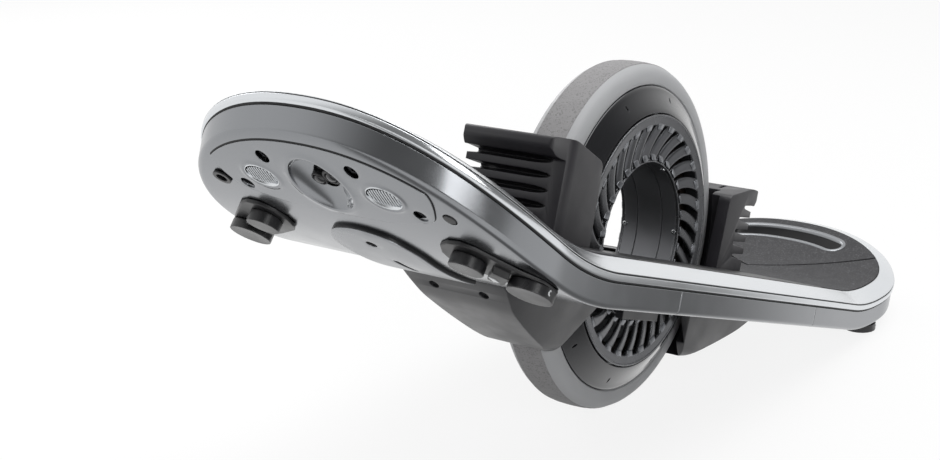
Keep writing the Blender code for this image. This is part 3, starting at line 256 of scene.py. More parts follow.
def turned(name, profile, steps=144, side=1):
    """A closed profile of (radius, y) turned about the axle, with its faces outwards."""
    points = [(r, side * y) for r, y in profile]
    if sum(a[0] * b[1] - b[0] * a[1] for a, b in zip(points, points[1:] + points[:1])) <= 0:
        points = points[::-1]
    rows = []
    for i in range(steps):
        angle = TURN * i / steps
        rows.append([(r * math.cos(angle), y, r * math.sin(angle)) for r, y in points])
    return loft(name, rows, around=True)


def oval(centre, radii, steps=48):
    return [(centre[0] + radii[0] * math.cos(TURN * i / steps),
             centre[1] + radii[1] * math.sin(TURN * i / steps)) for i in range(steps)]


def raised(loop, z):
    """The loop's points at one height."""
    return [(x, y, z) for x, y in loop]


def cylinder(radius, low, high, steps=32):
    corners = (low, 0), (low, radius), (high, radius), (high, 0)
    rows = [raised(oval((0, 0), (r, r), steps), z) for z, r in corners]
    return cleaned(loft("cylinder", rows), outward=True)


def block(size, centre=(0, 0, 0)):
    verts = [[c + sign * s / 2 for c, sign, s in zip(centre, signs, size)]
             for signs in ((i, j, k) for i in (-1, 1) for j in (-1, 1) for k in (-1, 1))]
    faces = [(0, 1, 3, 2), (4, 6, 7, 5), (0, 4, 5, 1), (2, 3, 7, 6), (0, 2, 6, 4), (1, 5, 7, 3)]
    return mesh_of("block", verts, faces)


def metres(point):
    return Vector([c * MM for c in point])


def rounded(points, radii, steps=5):
    """A closed loop whose corners are softened over the given reach along both sides."""
    corners = [metres(point) for point in points]
    loop = []
    for i, (corner, radius) in enumerate(zip(corners, radii)):
        back = corners[i - 1] - corner
        on = corners[(i + 1) % len(corners)] - corner
        start = corner + back.normalized() * min(radius * MM, 0.49 * back.length)
        end = corner + on.normalized() * min(radius * MM, 0.49 * on.length)
        for k in range(steps + 1 if radius else 1):
            t = k / steps
            loop.append([c / MM for c in (1 - t) ** 2 * start + 2 * t * (1 - t) * corner + t * t * end])
    return loop


def slab(loop, low, high):
    """A closed upright plate with the given outline."""
    return solid("slab", [raised(loop, z) for z in (low, high)])


def inside(points, loops):
    """For each point, whether it lies inside the first loop and outside the others."""
    points = np.asarray(points)
    result = np.ones(len(points), bool)
    for loop in loops:
        within = np.zeros(len(points), bool)
        for (x0, y0), (x1, y1) in zip(loop, loop[1:] + loop[:1]):
            if y0 != y1:
                crosses = (y0 > points[:, 1]) != (y1 > points[:, 1])
                within ^= crosses & (points[:, 0] < (x1 - x0) * (points[:, 1] - y0) / (y1 - y0) + x0)
        result &= within if loop is loops[0] else ~within
    return result


def dense(loop, spacing):
    """The loop with no stretch longer than the spacing."""
    points = []
    for (x0, y0), (x1, y1) in zip(loop, loop[1:] + loop[:1]):
        parts = max(1, math.ceil(math.hypot(x1 - x0, y1 - y0) / spacing))
        points += [(x0 + (x1 - x0) * i / parts, y0 + (y1 - y0) * i / parts) for i in range(parts)]
    return points


def clear_of(points, others, distance):
    """The points that lie farther than the distance from all others."""
    return points[np.array([np.hypot(*(others - p).T).min() > distance for p in points])]


def filled(name, loops, spacing, height, extra=(), down=True):
    """A fine net of triangles inside the first loop and outside the others, lifted to height(x, y).

    The net is laid in metres, and the loops are given in millimetres.
    """
    loops = [[(x * MM, y * MM) for x, y in loop] for loop in loops]
    spacing *= MM
    edges, points = [], []
    for loop in loops:
        start = len(points)
        points += loop
        edges += [(start + i, start + (i + 1) % len(loop)) for i in range(len(loop))]
    rim = np.array([p for loop in loops for p in dense(loop, spacing)])
    low, high = rim.min(axis=0), rim.max(axis=0)
    across, along = np.meshgrid(np.arange(low[0], high[0], spacing), np.arange(low[1], high[1], spacing))
    grid = np.column_stack([across.ravel(), along.ravel()])
    if len(extra):
        extra = np.array(extra) * MM
        grid = np.vstack([clear_of(grid, extra, 0.6 * spacing), extra])
    grid = clear_of(grid[inside(grid, loops)], rim, 0.45 * spacing)
    points += [tuple(p) for p in grid]
    verts, _, faces, *_ = delaunay_2d_cdt([Vector(p) for p in points], edges, [], 0, 1e-9)
    centres = [[sum(verts[i][k] for i in face) / 3 for k in (0, 1)] for face in faces]
    faces = [face[::-1] if down else face for face, kept in zip(faces, inside(centres, loops)) if kept]
    return mesh_of(name, [(x / MM, y / MM, height(x / MM, y / MM)) for x, y in verts], faces)


# The deck's shape

def kick(x):
    """How far the deck rises at x."""
    return KICK * max(0.0, abs(x) - KICK_START) ** 2


def on_underside(mesh):
    """A shape drawn with heights above the level underside, set under the kicked end."""
    moved(mesh, shift(0, 0, UNDERSIDE))
    for vert in mesh.vertices:
        vert.co.z += kick(vert.co.x / MM) * MM
    return mesh


def under_place(x, y, sink=0.0, low=UNDERSIDE):
    """A place on the tail's underside: its Z axis points out of the surface."""
    turn = math.atan(2 * KICK * max(0.0, abs(x) - KICK_START))
    place = shift(x, y, low + kick(x)) @ Matrix.Rotation(-turn, 4, "Y")
    return place @ about("X", 180) @ shift(0, 0, -sink)


def at_nose(places):
    return [about("Z", 180) @ place for place in places]


def end_point(angle, inset):
    """A point of the tail's rounded end, moved in from the rim's outer line."""
    long = DECK_HALF_LENGTH - STRAIGHT_HALF_LENGTH
    power = 2 / END_EXPONENT
    x = long * abs(math.cos(angle)) ** power
    y = DECK_HALF_WIDTH * math.copysign(abs(math.sin(angle)) ** power, math.sin(angle))
    slope = END_EXPONENT - 1
    normal = Vector(((x / long) ** slope / (long * MM),
                     math.copysign((abs(y) / DECK_HALF_WIDTH) ** slope, y) / (DECK_HALF_WIDTH * MM)))
    normal.normalize()
    return STRAIGHT_HALF_LENGTH + x - inset * normal.x, y - inset * normal.y


def end_path(inset, low_x, steps=72):
    """The deck's edge from low_x on the right, round the tail and back to low_x on the left."""
    side = DECK_HALF_WIDTH - inset
    level = np.linspace(low_x, KICK_START, 6)[:-1]
    straight = [(float(x), -side) for x in (*level, *np.linspace(KICK_START, STRAIGHT_HALF_LENGTH, 18)[:-1])]
    curve = [end_point(TURN / 2 * (i / steps - 0.5), inset) for i in range(steps + 1)]
    return straight + curve + [(x, -y) for x, y in reversed(straight)]


def deck_edge(inset):
    """The whole deck's edge."""
    tail = end_path(inset, 0.0)[:-1]
    return tail + [(-x, -y) for x, y in tail]


def end_angle(y, inset):
    """The angle at which the moved-in end outline is y to the side."""
    low, high = 0.0, 0.49 * TURN / 2
    for _ in range(30):
        middle = (low + high) / 2
        if end_point(middle, inset)[1] < y:
            low = middle
        else:
            high = middle
    return middle


def deck_rows(levels, path):
    """The edge at each (inset, height above the rim line), bent up at the ends."""
    return [[(x, y, RIM_LINE + height + kick(x)) for x, y in path(inset)] for inset, height in levels]


def strip(name, section, path):
    """A closed section of (inset, height) swept along a closed path and bent up with it."""
    return solid(name, deck_rows(section, path), around=True)


def ring_of(name, section, path):
    """A closed section of (growth, height) swept round a closed loop under the deck."""
    return on_underside(solid(name, [raised(path(extra), height) for extra, height in section], around=True))


def arc(centre, radii, start, end, steps=5):
    """Points of a rounded corner, in degrees."""
    turns = [math.radians(start + (end - start) * i / steps) for i in range(steps + 1)]
    return [(centre[0] + radii[0] * math.cos(t), centre[1] + radii[1] * math.sin(t)) for t in turns]


# Materials

def feed(tree, node, inputs):
    """Sets a node's inputs, each to a value, a socket or another node's output."""
    for key, value in inputs.items():
        if isinstance(value, bpy.types.Node):
            value = next(output for output in value.outputs if output.enabled)
        if isinstance(value, bpy.types.NodeSocket):
            tree.links.new(value, node.inputs[key])
        else:
            node.inputs[key].default_value = value
    return node


def add_node(tree, kind, inputs=None, **settings):
    """Adds a node with its settings and its inputs."""
    node = tree.nodes.new(kind)
    for key, value in settings.items():
        setattr(node, key, value)
    return feed(tree, node, inputs or {})


def surface(name, colour, roughness, metallic=0.0, tone=0.12, patch=40.0, grain=0.5, bump=0.05,
            stretch=(1, 1, 1), uneven=0.08, wear=None, edge=0.5, speck=None, coat=(0.0, 0.03)):
    """A material from its maker's facts: colours as hex, and patch, grain and edge in millimetres.

    tone is how far the colour drifts between patches, bump how deep the grain is in millimetres,
    stretch how the grain is drawn out, wear the colour that rubbed edges turn to, speck
    (colour, size in millimetres, share) a scatter of lighter grains, and coat a clear layer's
    weight and roughness.
    """
    material = bpy.data.materials.new(name)
    material.use_nodes = True
    tree = material.node_tree
    add = partial(add_node, tree)
    place = add("ShaderNodeTexCoord").outputs["Object"]
    local = add("ShaderNodeMapping", {"Vector": place, "Rotation": (0, -REST_TILT, 0)})
    drift = add("ShaderNodeTexNoise", {"Vector": local, "Scale": 1 / (patch * MM), "Detail": 3.0})
    base = linear(colour)
    deep, pale = [tuple(min(1.0, c * (1 + t)) for c in base[:3]) + (1.0,) for t in (-tone, tone)]
    paint = add("ShaderNodeMix", {"Factor": drift, "A": deep, "B": pale}, data_type="RGBA")
    fine = add("ShaderNodeMapping", {"Vector": local, "Scale": stretch})
    grains = add("ShaderNodeTexNoise", {"Vector": fine, "Scale": 1 / (grain * MM), "Detail": 2.0})
    if speck:
        speck_colour, size, share = speck
        cells = add("ShaderNodeTexVoronoi", {"Vector": fine, "Scale": 1 / (size * MM)}).outputs["Color"]
        chosen = add("ShaderNodeMath", {0: cells, 1: 1 - share}, operation="GREATER_THAN")
        paint = add("ShaderNodeMix", {"Factor": chosen, "A": paint, "B": linear(speck_colour)},
                    data_type="RGBA")
    soft = add("ShaderNodeBevel", {"Radius": edge * MM}, samples=4)
    if wear:
        true = add("ShaderNodeNewGeometry").outputs["Normal"]
        facing = add("ShaderNodeVectorMath", {0: soft, 1: true}, operation="DOT_PRODUCT")
        rubbed = add("ShaderNodeMapRange", {"Value": facing, "From Min": 0.985, "From Max": 0.86})
        patchy = add("ShaderNodeMath", {0: rubbed, 1: drift}, operation="MULTIPLY")
        paint = add("ShaderNodeMix", {"Factor": patchy, "A": paint, "B": linear(wear)}, data_type="RGBA")
    rough = add("ShaderNodeMapRange", {"Value": drift, "From Min": 0.3, "From Max": 0.7,
                                       "To Min": max(0.02, roughness - uneven),
                                       "To Max": min(1.0, roughness + uneven)})
    relief = add("ShaderNodeBump", {"Distance": bump * MM, "Height": grains, "Normal": soft})
    feed(tree, tree.nodes["Principled BSDF"], {"Base Color": paint, "Roughness": rough, "Normal": relief,
                                               "Metallic": metallic, "Coat Weight": coat[0],
                                               "Coat Roughness": coat[1]})
    material.diffuse_color = base
    return material


def make_materials():
    """All finishes, by the part that they cover."""
    return {
        # Bead-blasted and clear anodised aluminium: a soft grey sheen with a powdery grain
        "shell": surface("bead_blasted_anodised_aluminium", "#8E9093", 0.2, 1.0, tone=0.04, grain=0.35,
                         bump=0.003, uneven=0.04, wear="#B4B6B9", edge=0.8),
        # Drawn aluminium, polished and anodised: bright, with faint lines along the rail
        "rim": surface("polished_anodised_aluminium", "#DADDE0", 0.2, 1.0, tone=0.04, grain=0.3, bump=0.002,
                       stretch=(0.05, 1, 1), uneven=0.04, edge=0.8),
        # Mineral grit bonded to a rubber sheet: charcoal, dull, with single glinting grains
        "grip": surface("grit_bonded_to_rubber_sheet", "#3C3C3E", 0.9, tone=0.15, patch=14, grain=0.7,
                        bump=0.3, speck=("#5E5E61", 0.8, 0.2), edge=0.6),
        # Injection-moulded ABS, spark-textured: near black, with a broken satin highlight
        "plastic": surface("moulded_black_abs", "#1A1A1C", 0.36, bump=0.02, wear="#3C3C3F", edge=1.0),
        # Foot stops in glass-filled nylon: charcoal grey, satin, greyer where shoes rub
        "stop": surface("satin_glass_filled_nylon", "#262529", 0.4, tone=0.1, bump=0.012, patch=30,
                        wear="#5C5C60", edge=1.0),
        # Fenders in polypropylene: dark grey, soft and a little cloudy
        "fender": surface("moulded_dark_polypropylene", "#29292C", 0.36, tone=0.1, grain=0.6, bump=0.012,
                          wear="#4C4C50", edge=1.5),
        # Extruded rubber beads: black and dull, slightly pitted; the same black also fills the rim's groove as
        # painted shade
        "bead": surface("extruded_black_rubber", "#141416", 0.6, tone=0.1, grain=0.4, bump=0.02, edge=0.2),
        # Stamped service plates: brushed, pale and satin
        "plate": surface("stamped_satin_aluminium", "#8E9093", 0.3, 1.0, tone=0.04, grain=0.3, bump=0.003,
                         stretch=(0.05, 1, 1), uneven=0.04, wear="#D8DADC"),
        # Moulded polyurethane skid pucks: black, a little duller, greyed where they rub
        "puck": surface("moulded_black_polyurethane", "#202022", 0.32, tone=0.15, grain=0.7, bump=0.03,
                        wear="#6A6A6C", edge=1.2),
        # Moulded grey tyre rubber: matt, dusty, with a fine crackle
        "tyre": surface("moulded_grey_rubber", "#A2A3A5", 0.5, tone=0.08, patch=30, grain=0.6, bump=0.04,
                        uneven=0.1, wear="#B4B5B8", edge=1.2),
        # The tyre's running band: the same rubber, scuffed darker, with a fine raised crackle
        "tread": surface("textured_tread_rubber", "#8E8D8E", 0.75, tone=0.16, patch=9, grain=1.6, bump=0.35,
                         speck=("#7C7B7C", 1.1, 0.25), edge=0.8),
        # Cast aluminium, black lacquered and polished: deep with sharp highlights
        "face": surface("gloss_lacquered_cast_aluminium", "#1B1C20", 0.2, 0.5, tone=0.06, bump=0.003,
                        uneven=0.04, coat=(0.8, 0.06), wear="#6C6D70", edge=0.8),
        # Die-cast and satin lacquered vanes: mid grey on the flats, bright where edges rub
        "vane": surface("satin_lacquered_die_cast_aluminium", "#5A5B5E", 0.28, 0.85, tone=0.08, grain=0.6,
                        bump=0.006, wear="#C8CACC", edge=0.8),
        # Blade ends, a lighter grey than the vanes: painted highlight where the blades' ends catch the light
        "tip": surface("rubbed_die_cast_aluminium", "#808286", 0.3, 0.95, patch=6, bump=0.006),
        # Turned aluminium of the hub's bore: fine rings and a mid-grey sheen
        "bore": surface("turned_aluminium", "#7C7D80", 0.38, 0.9, tone=0.06, grain=0.4, bump=0.004, edge=0.8),
        # Die-cast aluminium left plain: grey and slightly cloudy
        "cast": surface("plain_die_cast_aluminium", "#86888B", 0.45, 0.9, tone=0.1, grain=0.9, bump=0.02,
                        wear="#B0B2B4", edge=0.8),
        # Ground bearing steel: clean and bright
        "steel": surface("ground_bearing_steel", "#9A9B9D", 0.25, 1.0, tone=0.05, grain=0.2, bump=0.002,
                         edge=0.4),
        # Oxide-blackened steel screws: dark with a faint blue sheen
        "screw": surface("blackened_steel", "#2A2B2E", 0.35, 0.9, tone=0.1, grain=0.2, bump=0.004,
                         wear="#8A8B8E", edge=0.3),
        # Zinc-plated steel bolts: pale and bright
        "bolt": surface("zinc_plated_steel", "#C8CACC", 0.25, 1.0, tone=0.06, grain=0.25, bump=0.003,
                        edge=0.3),
        # Nickel-plated sintered magnets: pale grey with soft corners
        "magnet": surface("nickel_plated_magnet", "#B4B5B2", 0.25, 1.0, tone=0.06, grain=0.4, bump=0.004,
                          edge=0.6),
        # Copper wire under black baking lacquer: dark brown, ribbed by its turns
        "winding": surface("lacquered_copper_winding", "#2B211C", 0.4, 0.4, tone=0.2, grain=1.2, bump=0.15,
                           stretch=(1, 0.15, 1), edge=0.6),
        # Heat-shrunk sleeve round the cells: blue and slightly glossy
        "battery": surface("heat_shrunk_pvc_sleeve", "#27477E", 0.35, tone=0.1, grain=4.0, bump=0.1,
                           edge=1.0),
        # Potted controller case in glass-filled nylon: black with pale fibre flecks
        "controller": surface("glass_filled_nylon", "#2E2F31", 0.6, tone=0.15, grain=0.8, bump=0.03,
                              speck=("#47484A", 0.7, 0.1), edge=0.8),
        # Smoked polycarbonate lens: nearly black, glossy, with moulded waviness
        "lens": surface("smoked_polycarbonate", "#15161A", 0.06, tone=0.1, grain=3.0, bump=0.01, uneven=0.02,
                        edge=0.4, coat=(0.5, 0.03)),
        # Mirror-bright crescents in the lamp scoop: painted highlight where the scoop's rim catches the light
        "mirror": surface("vacuum_metallised_reflector", "#E4E6E8", 0.12, 1.0, tone=0.02, grain=2.0,
                          bump=0.004, uneven=0.02, edge=0.3),
    }


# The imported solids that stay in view, by finish, and how far their edges are rounded
KEPT_NODES = {
    "plastic": "left_rail_cover right_rail_cover nose_left_speaker nose_right_speaker power_switch "
               "power_button charge_inlet nose_left_skid nose_right_skid tail_left_skid tail_right_skid",
    "puck": "nose_left_inner_puck nose_left_outer_puck nose_right_inner_puck nose_right_outer_puck "
            "tail_left_inner_puck tail_left_outer_puck tail_right_inner_puck tail_right_outer_puck",
    "fender": "left_hub_beam right_hub_beam",
    "face": "nose_deck_plate tail_deck_plate",
    "cast": "rotor_rim stator_core",
    "steel": "left_hub_bearing right_hub_bearing",
    "magnet": "magnet_ring",
    "winding": "stator_winding",
    "battery": "battery_pack",
    "controller": "motor_controller",
}
SOFT_EDGES = {"plastic": 0.7, "puck": 1.2, "cast": 0.5}


def finish_node(obj, material, edge):
    """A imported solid's finish, with its edges rounded by modifiers that leave its mesh alone."""
    for slot in obj.material_slots:
        slot.material = material
    obj.data.shade_smooth()
    add_modifier(obj, "WELD", merge_threshold=1e-5)
    add_modifier(obj, "DECIMATE", decimate_type="DISSOLVE", angle_limit=math.radians(0.2))
    kind, settings = rounding(edge, 3 if edge > 1 else 2, 32)
    add_modifier(obj, kind, **settings)
    add_modifier(obj, "WEIGHTED_NORMAL", keep_sharp=False)


# Rim and shells

def rim_mesh():
    """The drawn rim: a band below, a groove for the black bead and a long bevel up to the grip."""
    section = [(13.5, -7.0), (1.6, -7.0)] + arc((1.6, -5.4), (1.6, 1.6), 270, 180)[1:]
    section += [(0.0, -2.2), (0.15, -1.8), (1.1, -1.7), (1.1, -0.6), (0.75, -0.5), (0.9, -0.1)]
    section += [(3.2, 1.3), (6.4, 3.4), (10.5, 5.9), (14.4, 8.1), (16.6, 9.2)]
    section += [(17.4, 9.75), (17.8, 9.8), (18.0, 9.5), (18.0, 3.3), (27.0, 3.3), (27.0, -0.7)]
    return strip("rim", section, deck_edge)


def bead_mesh():
    """A black strip in the rim's groove, painted shade for the groove's dark line, and a black bead squeezed
    between rim and shells.
    """
    painted_groove_shade = [(1.3, -1.75), (0.8, -1.7), (0.8, -0.55), (1.3, -0.5)]
    seal = [(3.2, -6.9), (1.5, -6.9), (1.25, -7.15), (1.25, -7.75), (1.5, -8.0), (3.2, -8.0)]
    return joined([strip("bead", section, deck_edge) for section in (painted_groove_shade, seal)])


SHELL_WALL = 2.4
SHELL_SIDE = [(6.0, -8.0), (2.3, -8.0), (1.5, -8.8), (1.5, -23.6)]
SHELL_SIDE += arc((6.0, -24.0), (4.5, 4.0), 180, 270, 7)


def end_shell_mesh(holes=()):
    """The tail's lower shell: a rounded side wall and a floor open for the panel and the ports."""
    low_x = SEAM_X + GAP / 2
    side = loft("side", deck_rows(SHELL_SIDE, lambda inset: end_path(inset, low_x))[::-1], closed_rows=False)
    half = WELL_HALF_WIDTH + GAP
    well = [(low_x, half), (WELL_HALF_LENGTH, half), (WELL_HALF_LENGTH, -half), (low_x, -half)]
    loops = [end_path(6.0, low_x) + well, panel_edge(-3)] + list(holes)
    floor = filled("floor", loops, 6, lambda x, y: UNDERSIDE + kick(x))
    skin = modified(cleaned(joined([side, floor]), distance=2e-6), wall(SHELL_WALL))
    end_wall = block((3, 2 * WELL_HALF_WIDTH, 30.6), (WELL_HALF_LENGTH + 1.6, 0, UNDERSIDE + 16))
    return joined([skin, modified(end_wall, rounding(0.5))])


def rail_shell_mesh():
    """The straight lower shell of one rail."""
    end, near_end = SEAM_X - GAP / 2, SEAM_X - 2.5
    rows = [[(x, DECK_HALF_WIDTH - inset, RIM_LINE + height) for x in (end, near_end, -near_end, -end)]
            for inset, height in SHELL_SIDE + [(DECK_HALF_WIDTH - WELL_HALF_WIDTH - GAP, -28.0)]]
    return modified(loft("rail", rows[::-1], closed_rows=False), wall(SHELL_WALL), rounding(0.4))


# Lamp panels

PANEL_INNER_X = 399
PANEL_HALF_WIDTH = 95
PANEL_EDGE_INSET = 6.3
PANEL_LOW = UNDERSIDE - 1.2
SCOOP_X = 428.5
SCOOP_RADII = (24.3, 24)
SCOOP_DEPTH = 12
LAMP_X = 424
LAMP_RADIUS = 9.5
LAMP_LOW = PANEL_LOW + SCOOP_DEPTH - 2
SPEAKER_X = 428
SPEAKER_Y = 54
SPEAKER_RADII = (10, 14.5)
PORT = (416, 101)
PORT_RADII = ((1, 5.3), (-1, 5.8))
PANEL_SCREWS = [(x, side * y) for side in (-1, 1) for x, y in ((448, 39), (415, 77))]


def panel_edge(extra, steps=40):
    """The panel's outline: straight towards the wheel, round along the rim, with soft corners."""
    half = PANEL_HALF_WIDTH + extra
    end = end_angle(half, PANEL_EDGE_INSET - extra)
    edge = [end_point(end * (2 * i / steps - 1), PANEL_EDGE_INSET - extra) for i in range(steps + 1)]
    low = PANEL_INNER_X - extra
    corners = [edge[-3], edge[-1], (low + 30, half), (low + 12, half - 8), (low, half / 2), (low, 0)]
    side = rounded(corners, (0, 3, 9, 7, 20, 0), 6)[1:]
    return edge[2:-2] + side[:-1] + [(x, -y) for x, y in reversed(side)]


def speaker_oval(side, extra=0.0, grow=1.0, steps=48):
    return oval((SPEAKER_X, side * SPEAKER_Y), [r * grow + extra for r in SPEAKER_RADII], steps)


def panel_height(speakers):
    """The panel's relief, downwards: a scoop round the lamp and a raised ring round each grille."""
    ring_radii = [r + 1.8 for r in SPEAKER_RADII]

    def height(x, y):
        low = PANEL_LOW
        reach = math.hypot((x - SCOOP_X) / SCOOP_RADII[0], y / SCOOP_RADII[1])
        low -= 0.9 * math.exp(-((reach - 1.07) / 0.09) ** 2)
        if reach < 1:
            low += SCOOP_DEPTH * math.sqrt(1 - reach ** 2)
        if speakers:
            ring = math.hypot((x - SPEAKER_X) / ring_radii[0], (abs(y) - SPEAKER_Y) / ring_radii[1])
            low -= 0.9 * math.exp(-((ring - 1.0) / 0.1) ** 2)
        for screw_x, screw_y in PANEL_SCREWS:
            dish = math.hypot(x - screw_x, y - screw_y) / 7.5
            low += 0.5 * max(0.0, 1 - dish ** 2)
        return low + kick(x)
    return height


def panel_mesh(speakers):
    loops = [dense(panel_edge(0), 3)] + [oval(centre, (5.4, 5.4), 28) for centre in PANEL_SCREWS]
    loops.append(oval((LAMP_X, 0), (LAMP_RADIUS + GAP,) * 2, 40))
    rings = []
    for grow in (0.6, 0.75, 0.86, 0.93, 0.97, 0.99, 1.0, 1.03, 1.07, 1.12, 1.18):
        rings += oval((SCOOP_X, 0), [r * grow for r in SCOOP_RADII])
    if speakers:
        for side in (-1, 1):
            loops.append(speaker_oval(side, GAP))
            for grow in (1.12, 1.18, 1.26, 1.34, 1.45):
                rings += speaker_oval(side, grow=grow, steps=40)
    plate = cleaned(filled("panel", loops, 3, panel_height(speakers), rings), distance=5e-5)
    return modified(plate, wall(1.7), rounding(0.45))


def panel_bead_mesh():
    """The black bead that closes the gap round the panel."""
    section = [(-0.3, 1.2), (0.6, 1.2), (0.6, -0.1), (0.4, -0.4), (0.1, -0.5), (-0.3, -0.4)]
    return ring_of("bead", section, lambda extra: dense(panel_edge(extra), 6))


def bezel_mesh():
    """The two oval rings that hold the grilles' bars."""
    section = [(-0.2, 1.2), (0.3, 1.2), (0.3, -1.4), (0.0, -1.8), (-0.5, -1.6), (-0.8, 1.2)]
    return joined([ring_of("bezel", section, partial(speaker_oval, side)) for side in (-1, 1)])


def highlight_crescent_mesh(start, end, peak):
    """A mirror-bright crescent lining the scoop between two angles in degrees, widest at the peak share: a
    painted highlight.
    """
    rows = []
    for i in range(25):
        share = i / 24
        angle = math.radians(start + (end - start) * share)
        broad = math.sin(math.pi * share ** (math.log(0.5) / math.log(peak))) ** 1.2
        row = []
        for reach, lift in ((1.01, 0.0), (0.985, 0.9), (0.93, 1.6), (0.985 - 0.335 * broad, 1.6),
                            (0.97 - 0.34 * broad, 0.5), (0.97 - 0.335 * broad, -0.6), (1.01, -0.6)):
            depth = SCOOP_DEPTH * math.sqrt(max(0.0, 1 - min(1.0, reach) ** 2))
            row.append((SCOOP_X + SCOOP_RADII[0] * reach * math.cos(angle),
                        SCOOP_RADII[1] * reach * math.sin(angle),
                        PANEL_LOW - UNDERSIDE + depth - lift * (0.35 + 0.65 * broad)))
        rows.append(row)
    return on_underside(solid("trim", rows))


def lamp_parts():
    """Two lamps side by side in the scoop, as their black collars and their domed lenses."""
    collars = [moved(cylinder(LAMP_RADIUS + 1.5, -6, -3, 48), under_place(LAMP_X, 0, low=LAMP_LOW))]
    domes = []
    inner = 4.7
    for side in (-1, 1):
        outer = 7.4 if side < 0 else 6.4
        profile = [(outer, 4.0), (outer, -1.6), (outer - 0.5, -2.2), (5.4, -2.4), (4.9, -1.6), (inner, 0.0),
                   (inner, 4.0)]
        dome = [(inner * math.cos(a), -1.0 - 3.0 * math.sin(a)) for a in np.linspace(0, TURN / 4, 8)]
        place = under_place(LAMP_X - side * 2, side * 6.6, low=LAMP_LOW) @ about("X", 180) @ about("X", 90)
        for mesh, kept in ((turned("collar", profile, 40), collars),
                           (turned("dome", [(0.0, 2), (inner, 2)] + dome, 32), domes)):
            kept.append(cleaned(moved(mesh, place), outward=True))
    return joined(collars), joined(domes)


def grille_places():
    """Where each grille's bars lie, and how long each bar is."""
    places, lengths = [], []
    for side in (-1, 1):
        for i in range(-5, 6):
            y = 2.35 * i
            reach = math.sqrt(max(0.0, 1 - (y / (SPEAKER_RADII[1] - 1)) ** 2))
            places.append(under_place(SPEAKER_X, side * SPEAKER_Y + y, 0.6, PANEL_LOW))
            lengths.append(((SPEAKER_RADII[0] - 0.8) * reach, 1, 1))
    return at_nose(places), lengths


# Carrying slots

HANDLE_INSET = 43
HANDLE_WIDTH = 20
HANDLE_HALF_SPAN = 66


def handle_edge(extra, steps=24):
    """The tail's arc-shaped carrying slot, grown on all sides by extra."""
    end = end_angle(HANDLE_HALF_SPAN - HANDLE_WIDTH / 2, HANDLE_INSET)
    half = HANDLE_WIDTH / 2 + extra
    angles = [end * (2 * i / steps - 1) for i in range(steps + 1)]
    outer = [end_point(angle, HANDLE_INSET - half) for angle in angles]
    inner = [end_point(angle, HANDLE_INSET + half) for angle in reversed(angles)]

    def cap(angle, start):
        centre = metres(end_point(angle, HANDLE_INSET))
        out = metres(end_point(angle, HANDLE_INSET - half)) - centre
        turns = [Matrix.Rotation(start + TURN / 2 * i / 10, 2) for i in range(1, 10)]
        return [tuple((centre + turn @ out) / MM) for turn in turns]

    return outer + cap(end, 0) + inner + cap(-end, TURN / 2)


def handle_lip_mesh():
    """The bright ring round the carrying slot."""
    section = [(0.0, 8.4), (0.0, 10.7), (0.3, 11.1), (1.2, 11.6), (2.6, 11.8), (3.7, 11.5)]
    section += [(4.2, 10.9), (4.2, 10.2), (2.0, 10.2), (2.0, 8.4)]
    return strip("lip", section, handle_edge)


def handle_tray_mesh():
    """The slot's black inside: a wall and a floor."""
    section = [(2.0, -8.0), (2.0, 8.3), (0.1, 8.3), (0.1, -4.4), (-0.5, -5.5), (-1.6, -5.9)]
    return solid("tray", deck_rows(section, handle_edge))


# Grip pads

GRIP_START_X = 202
GRIP_INSET = 18.7
GRIP_TOP = RIM_LINE + 10.6
CHEVRON_APEX_X = 321
CHEVRON_SLOPE = 106 / 83
CHEVRON_HALF_WIDTH = 1.9


def parted(path, line):
    """The stretches of a path between the places where line(point) changes its sign."""
    parts, current = [], [path[0]]
    for near, far in zip(path, path[1:]):
        a, b = line(near), line(far)
        if (a > 0) != (b > 0):
            share = a / (a - b)
            meet = tuple(n + (f - n) * share for n, f in zip(near, far))
            parts.append(current + [meet])
            current = [meet]
        current.append(far)
    return parts + [current]


def grip_mesh():
    """Both pads of the tail's grip sheet, parted by the chevron line, with the carrying slot cut out."""
    path = end_path(GRIP_INSET, GRIP_START_X)
    before, after = [CHEVRON_APEX_X + side * CHEVRON_HALF_WIDTH for side in (-1, 1)]
    near, _, back = parted(path, lambda point: point[0] - (before + abs(point[1]) / CHEVRON_SLOPE))
    _, tip, _ = parted(path, lambda point: point[0] - (after + abs(point[1]) / CHEVRON_SLOPE))
    pads = []
    for loop, holes in ((near + [(before, 0)] + back, []), (tip + [(after, 0)], [handle_edge(2.3)])):
        pad = filled("pad", [dense(loop, 3)] + holes, 3, lambda x, y: GRIP_TOP + kick(x), down=False)
        pads.append(modified(cleaned(pad, distance=5e-5), wall(4, even=False)))
    return joined(pads)


# Foot stops and fenders

STOP_FACE_X = 187
GROOVE_PITCH = 12.3
GROOVE_DEPTHS = (17, 25, 30, 29.5, 27)
GROOVE_END_DEPTH = 16.5
GROOVE_HALF_HEIGHT = 3.2


def along_board(outline, half):
    """A side view in x and z, drawn out to half the width on both sides."""
    return moved(slab(outline, -half, half), about("X", 90))


def wheel_space():
    """The room that the wheel and its hub need, as two upright discs."""
    sizes = (166, 29), (146, 37.4)
    return [moved(cylinder(radius, -half, half, 120), about("X", 90)) for radius, half in sizes]


def groove_cutter(level, deep):
    """A wedge along Y for one groove: deepest where it runs out at -Y, closed and rounded before +Y."""
    rows = []
    for i in range(29):
        y = -52 + 86 * i / 28
        inward = max(0.0, min(1.0, (-28 - y) / 14))
        share = math.sqrt(max(0.002, 1 - max(0.0, (y - 12) / 22) ** 2))
        depth = (GROOVE_END_DEPTH + (deep - GROOVE_END_DEPTH) * inward) * share ** 0.7
        half, root = GROOVE_HALF_HEIGHT * share, STOP_FACE_X - depth
        rows.append([(x, y, level + z) for x, z in (
            (205, half), (STOP_FACE_X, half), (root + 1.2, 0.5 * half), (root, 0), (root + 1.2, -0.5 * half),
            (STOP_FACE_X, -half), (205, -half))])
    return solid("groove", rows)


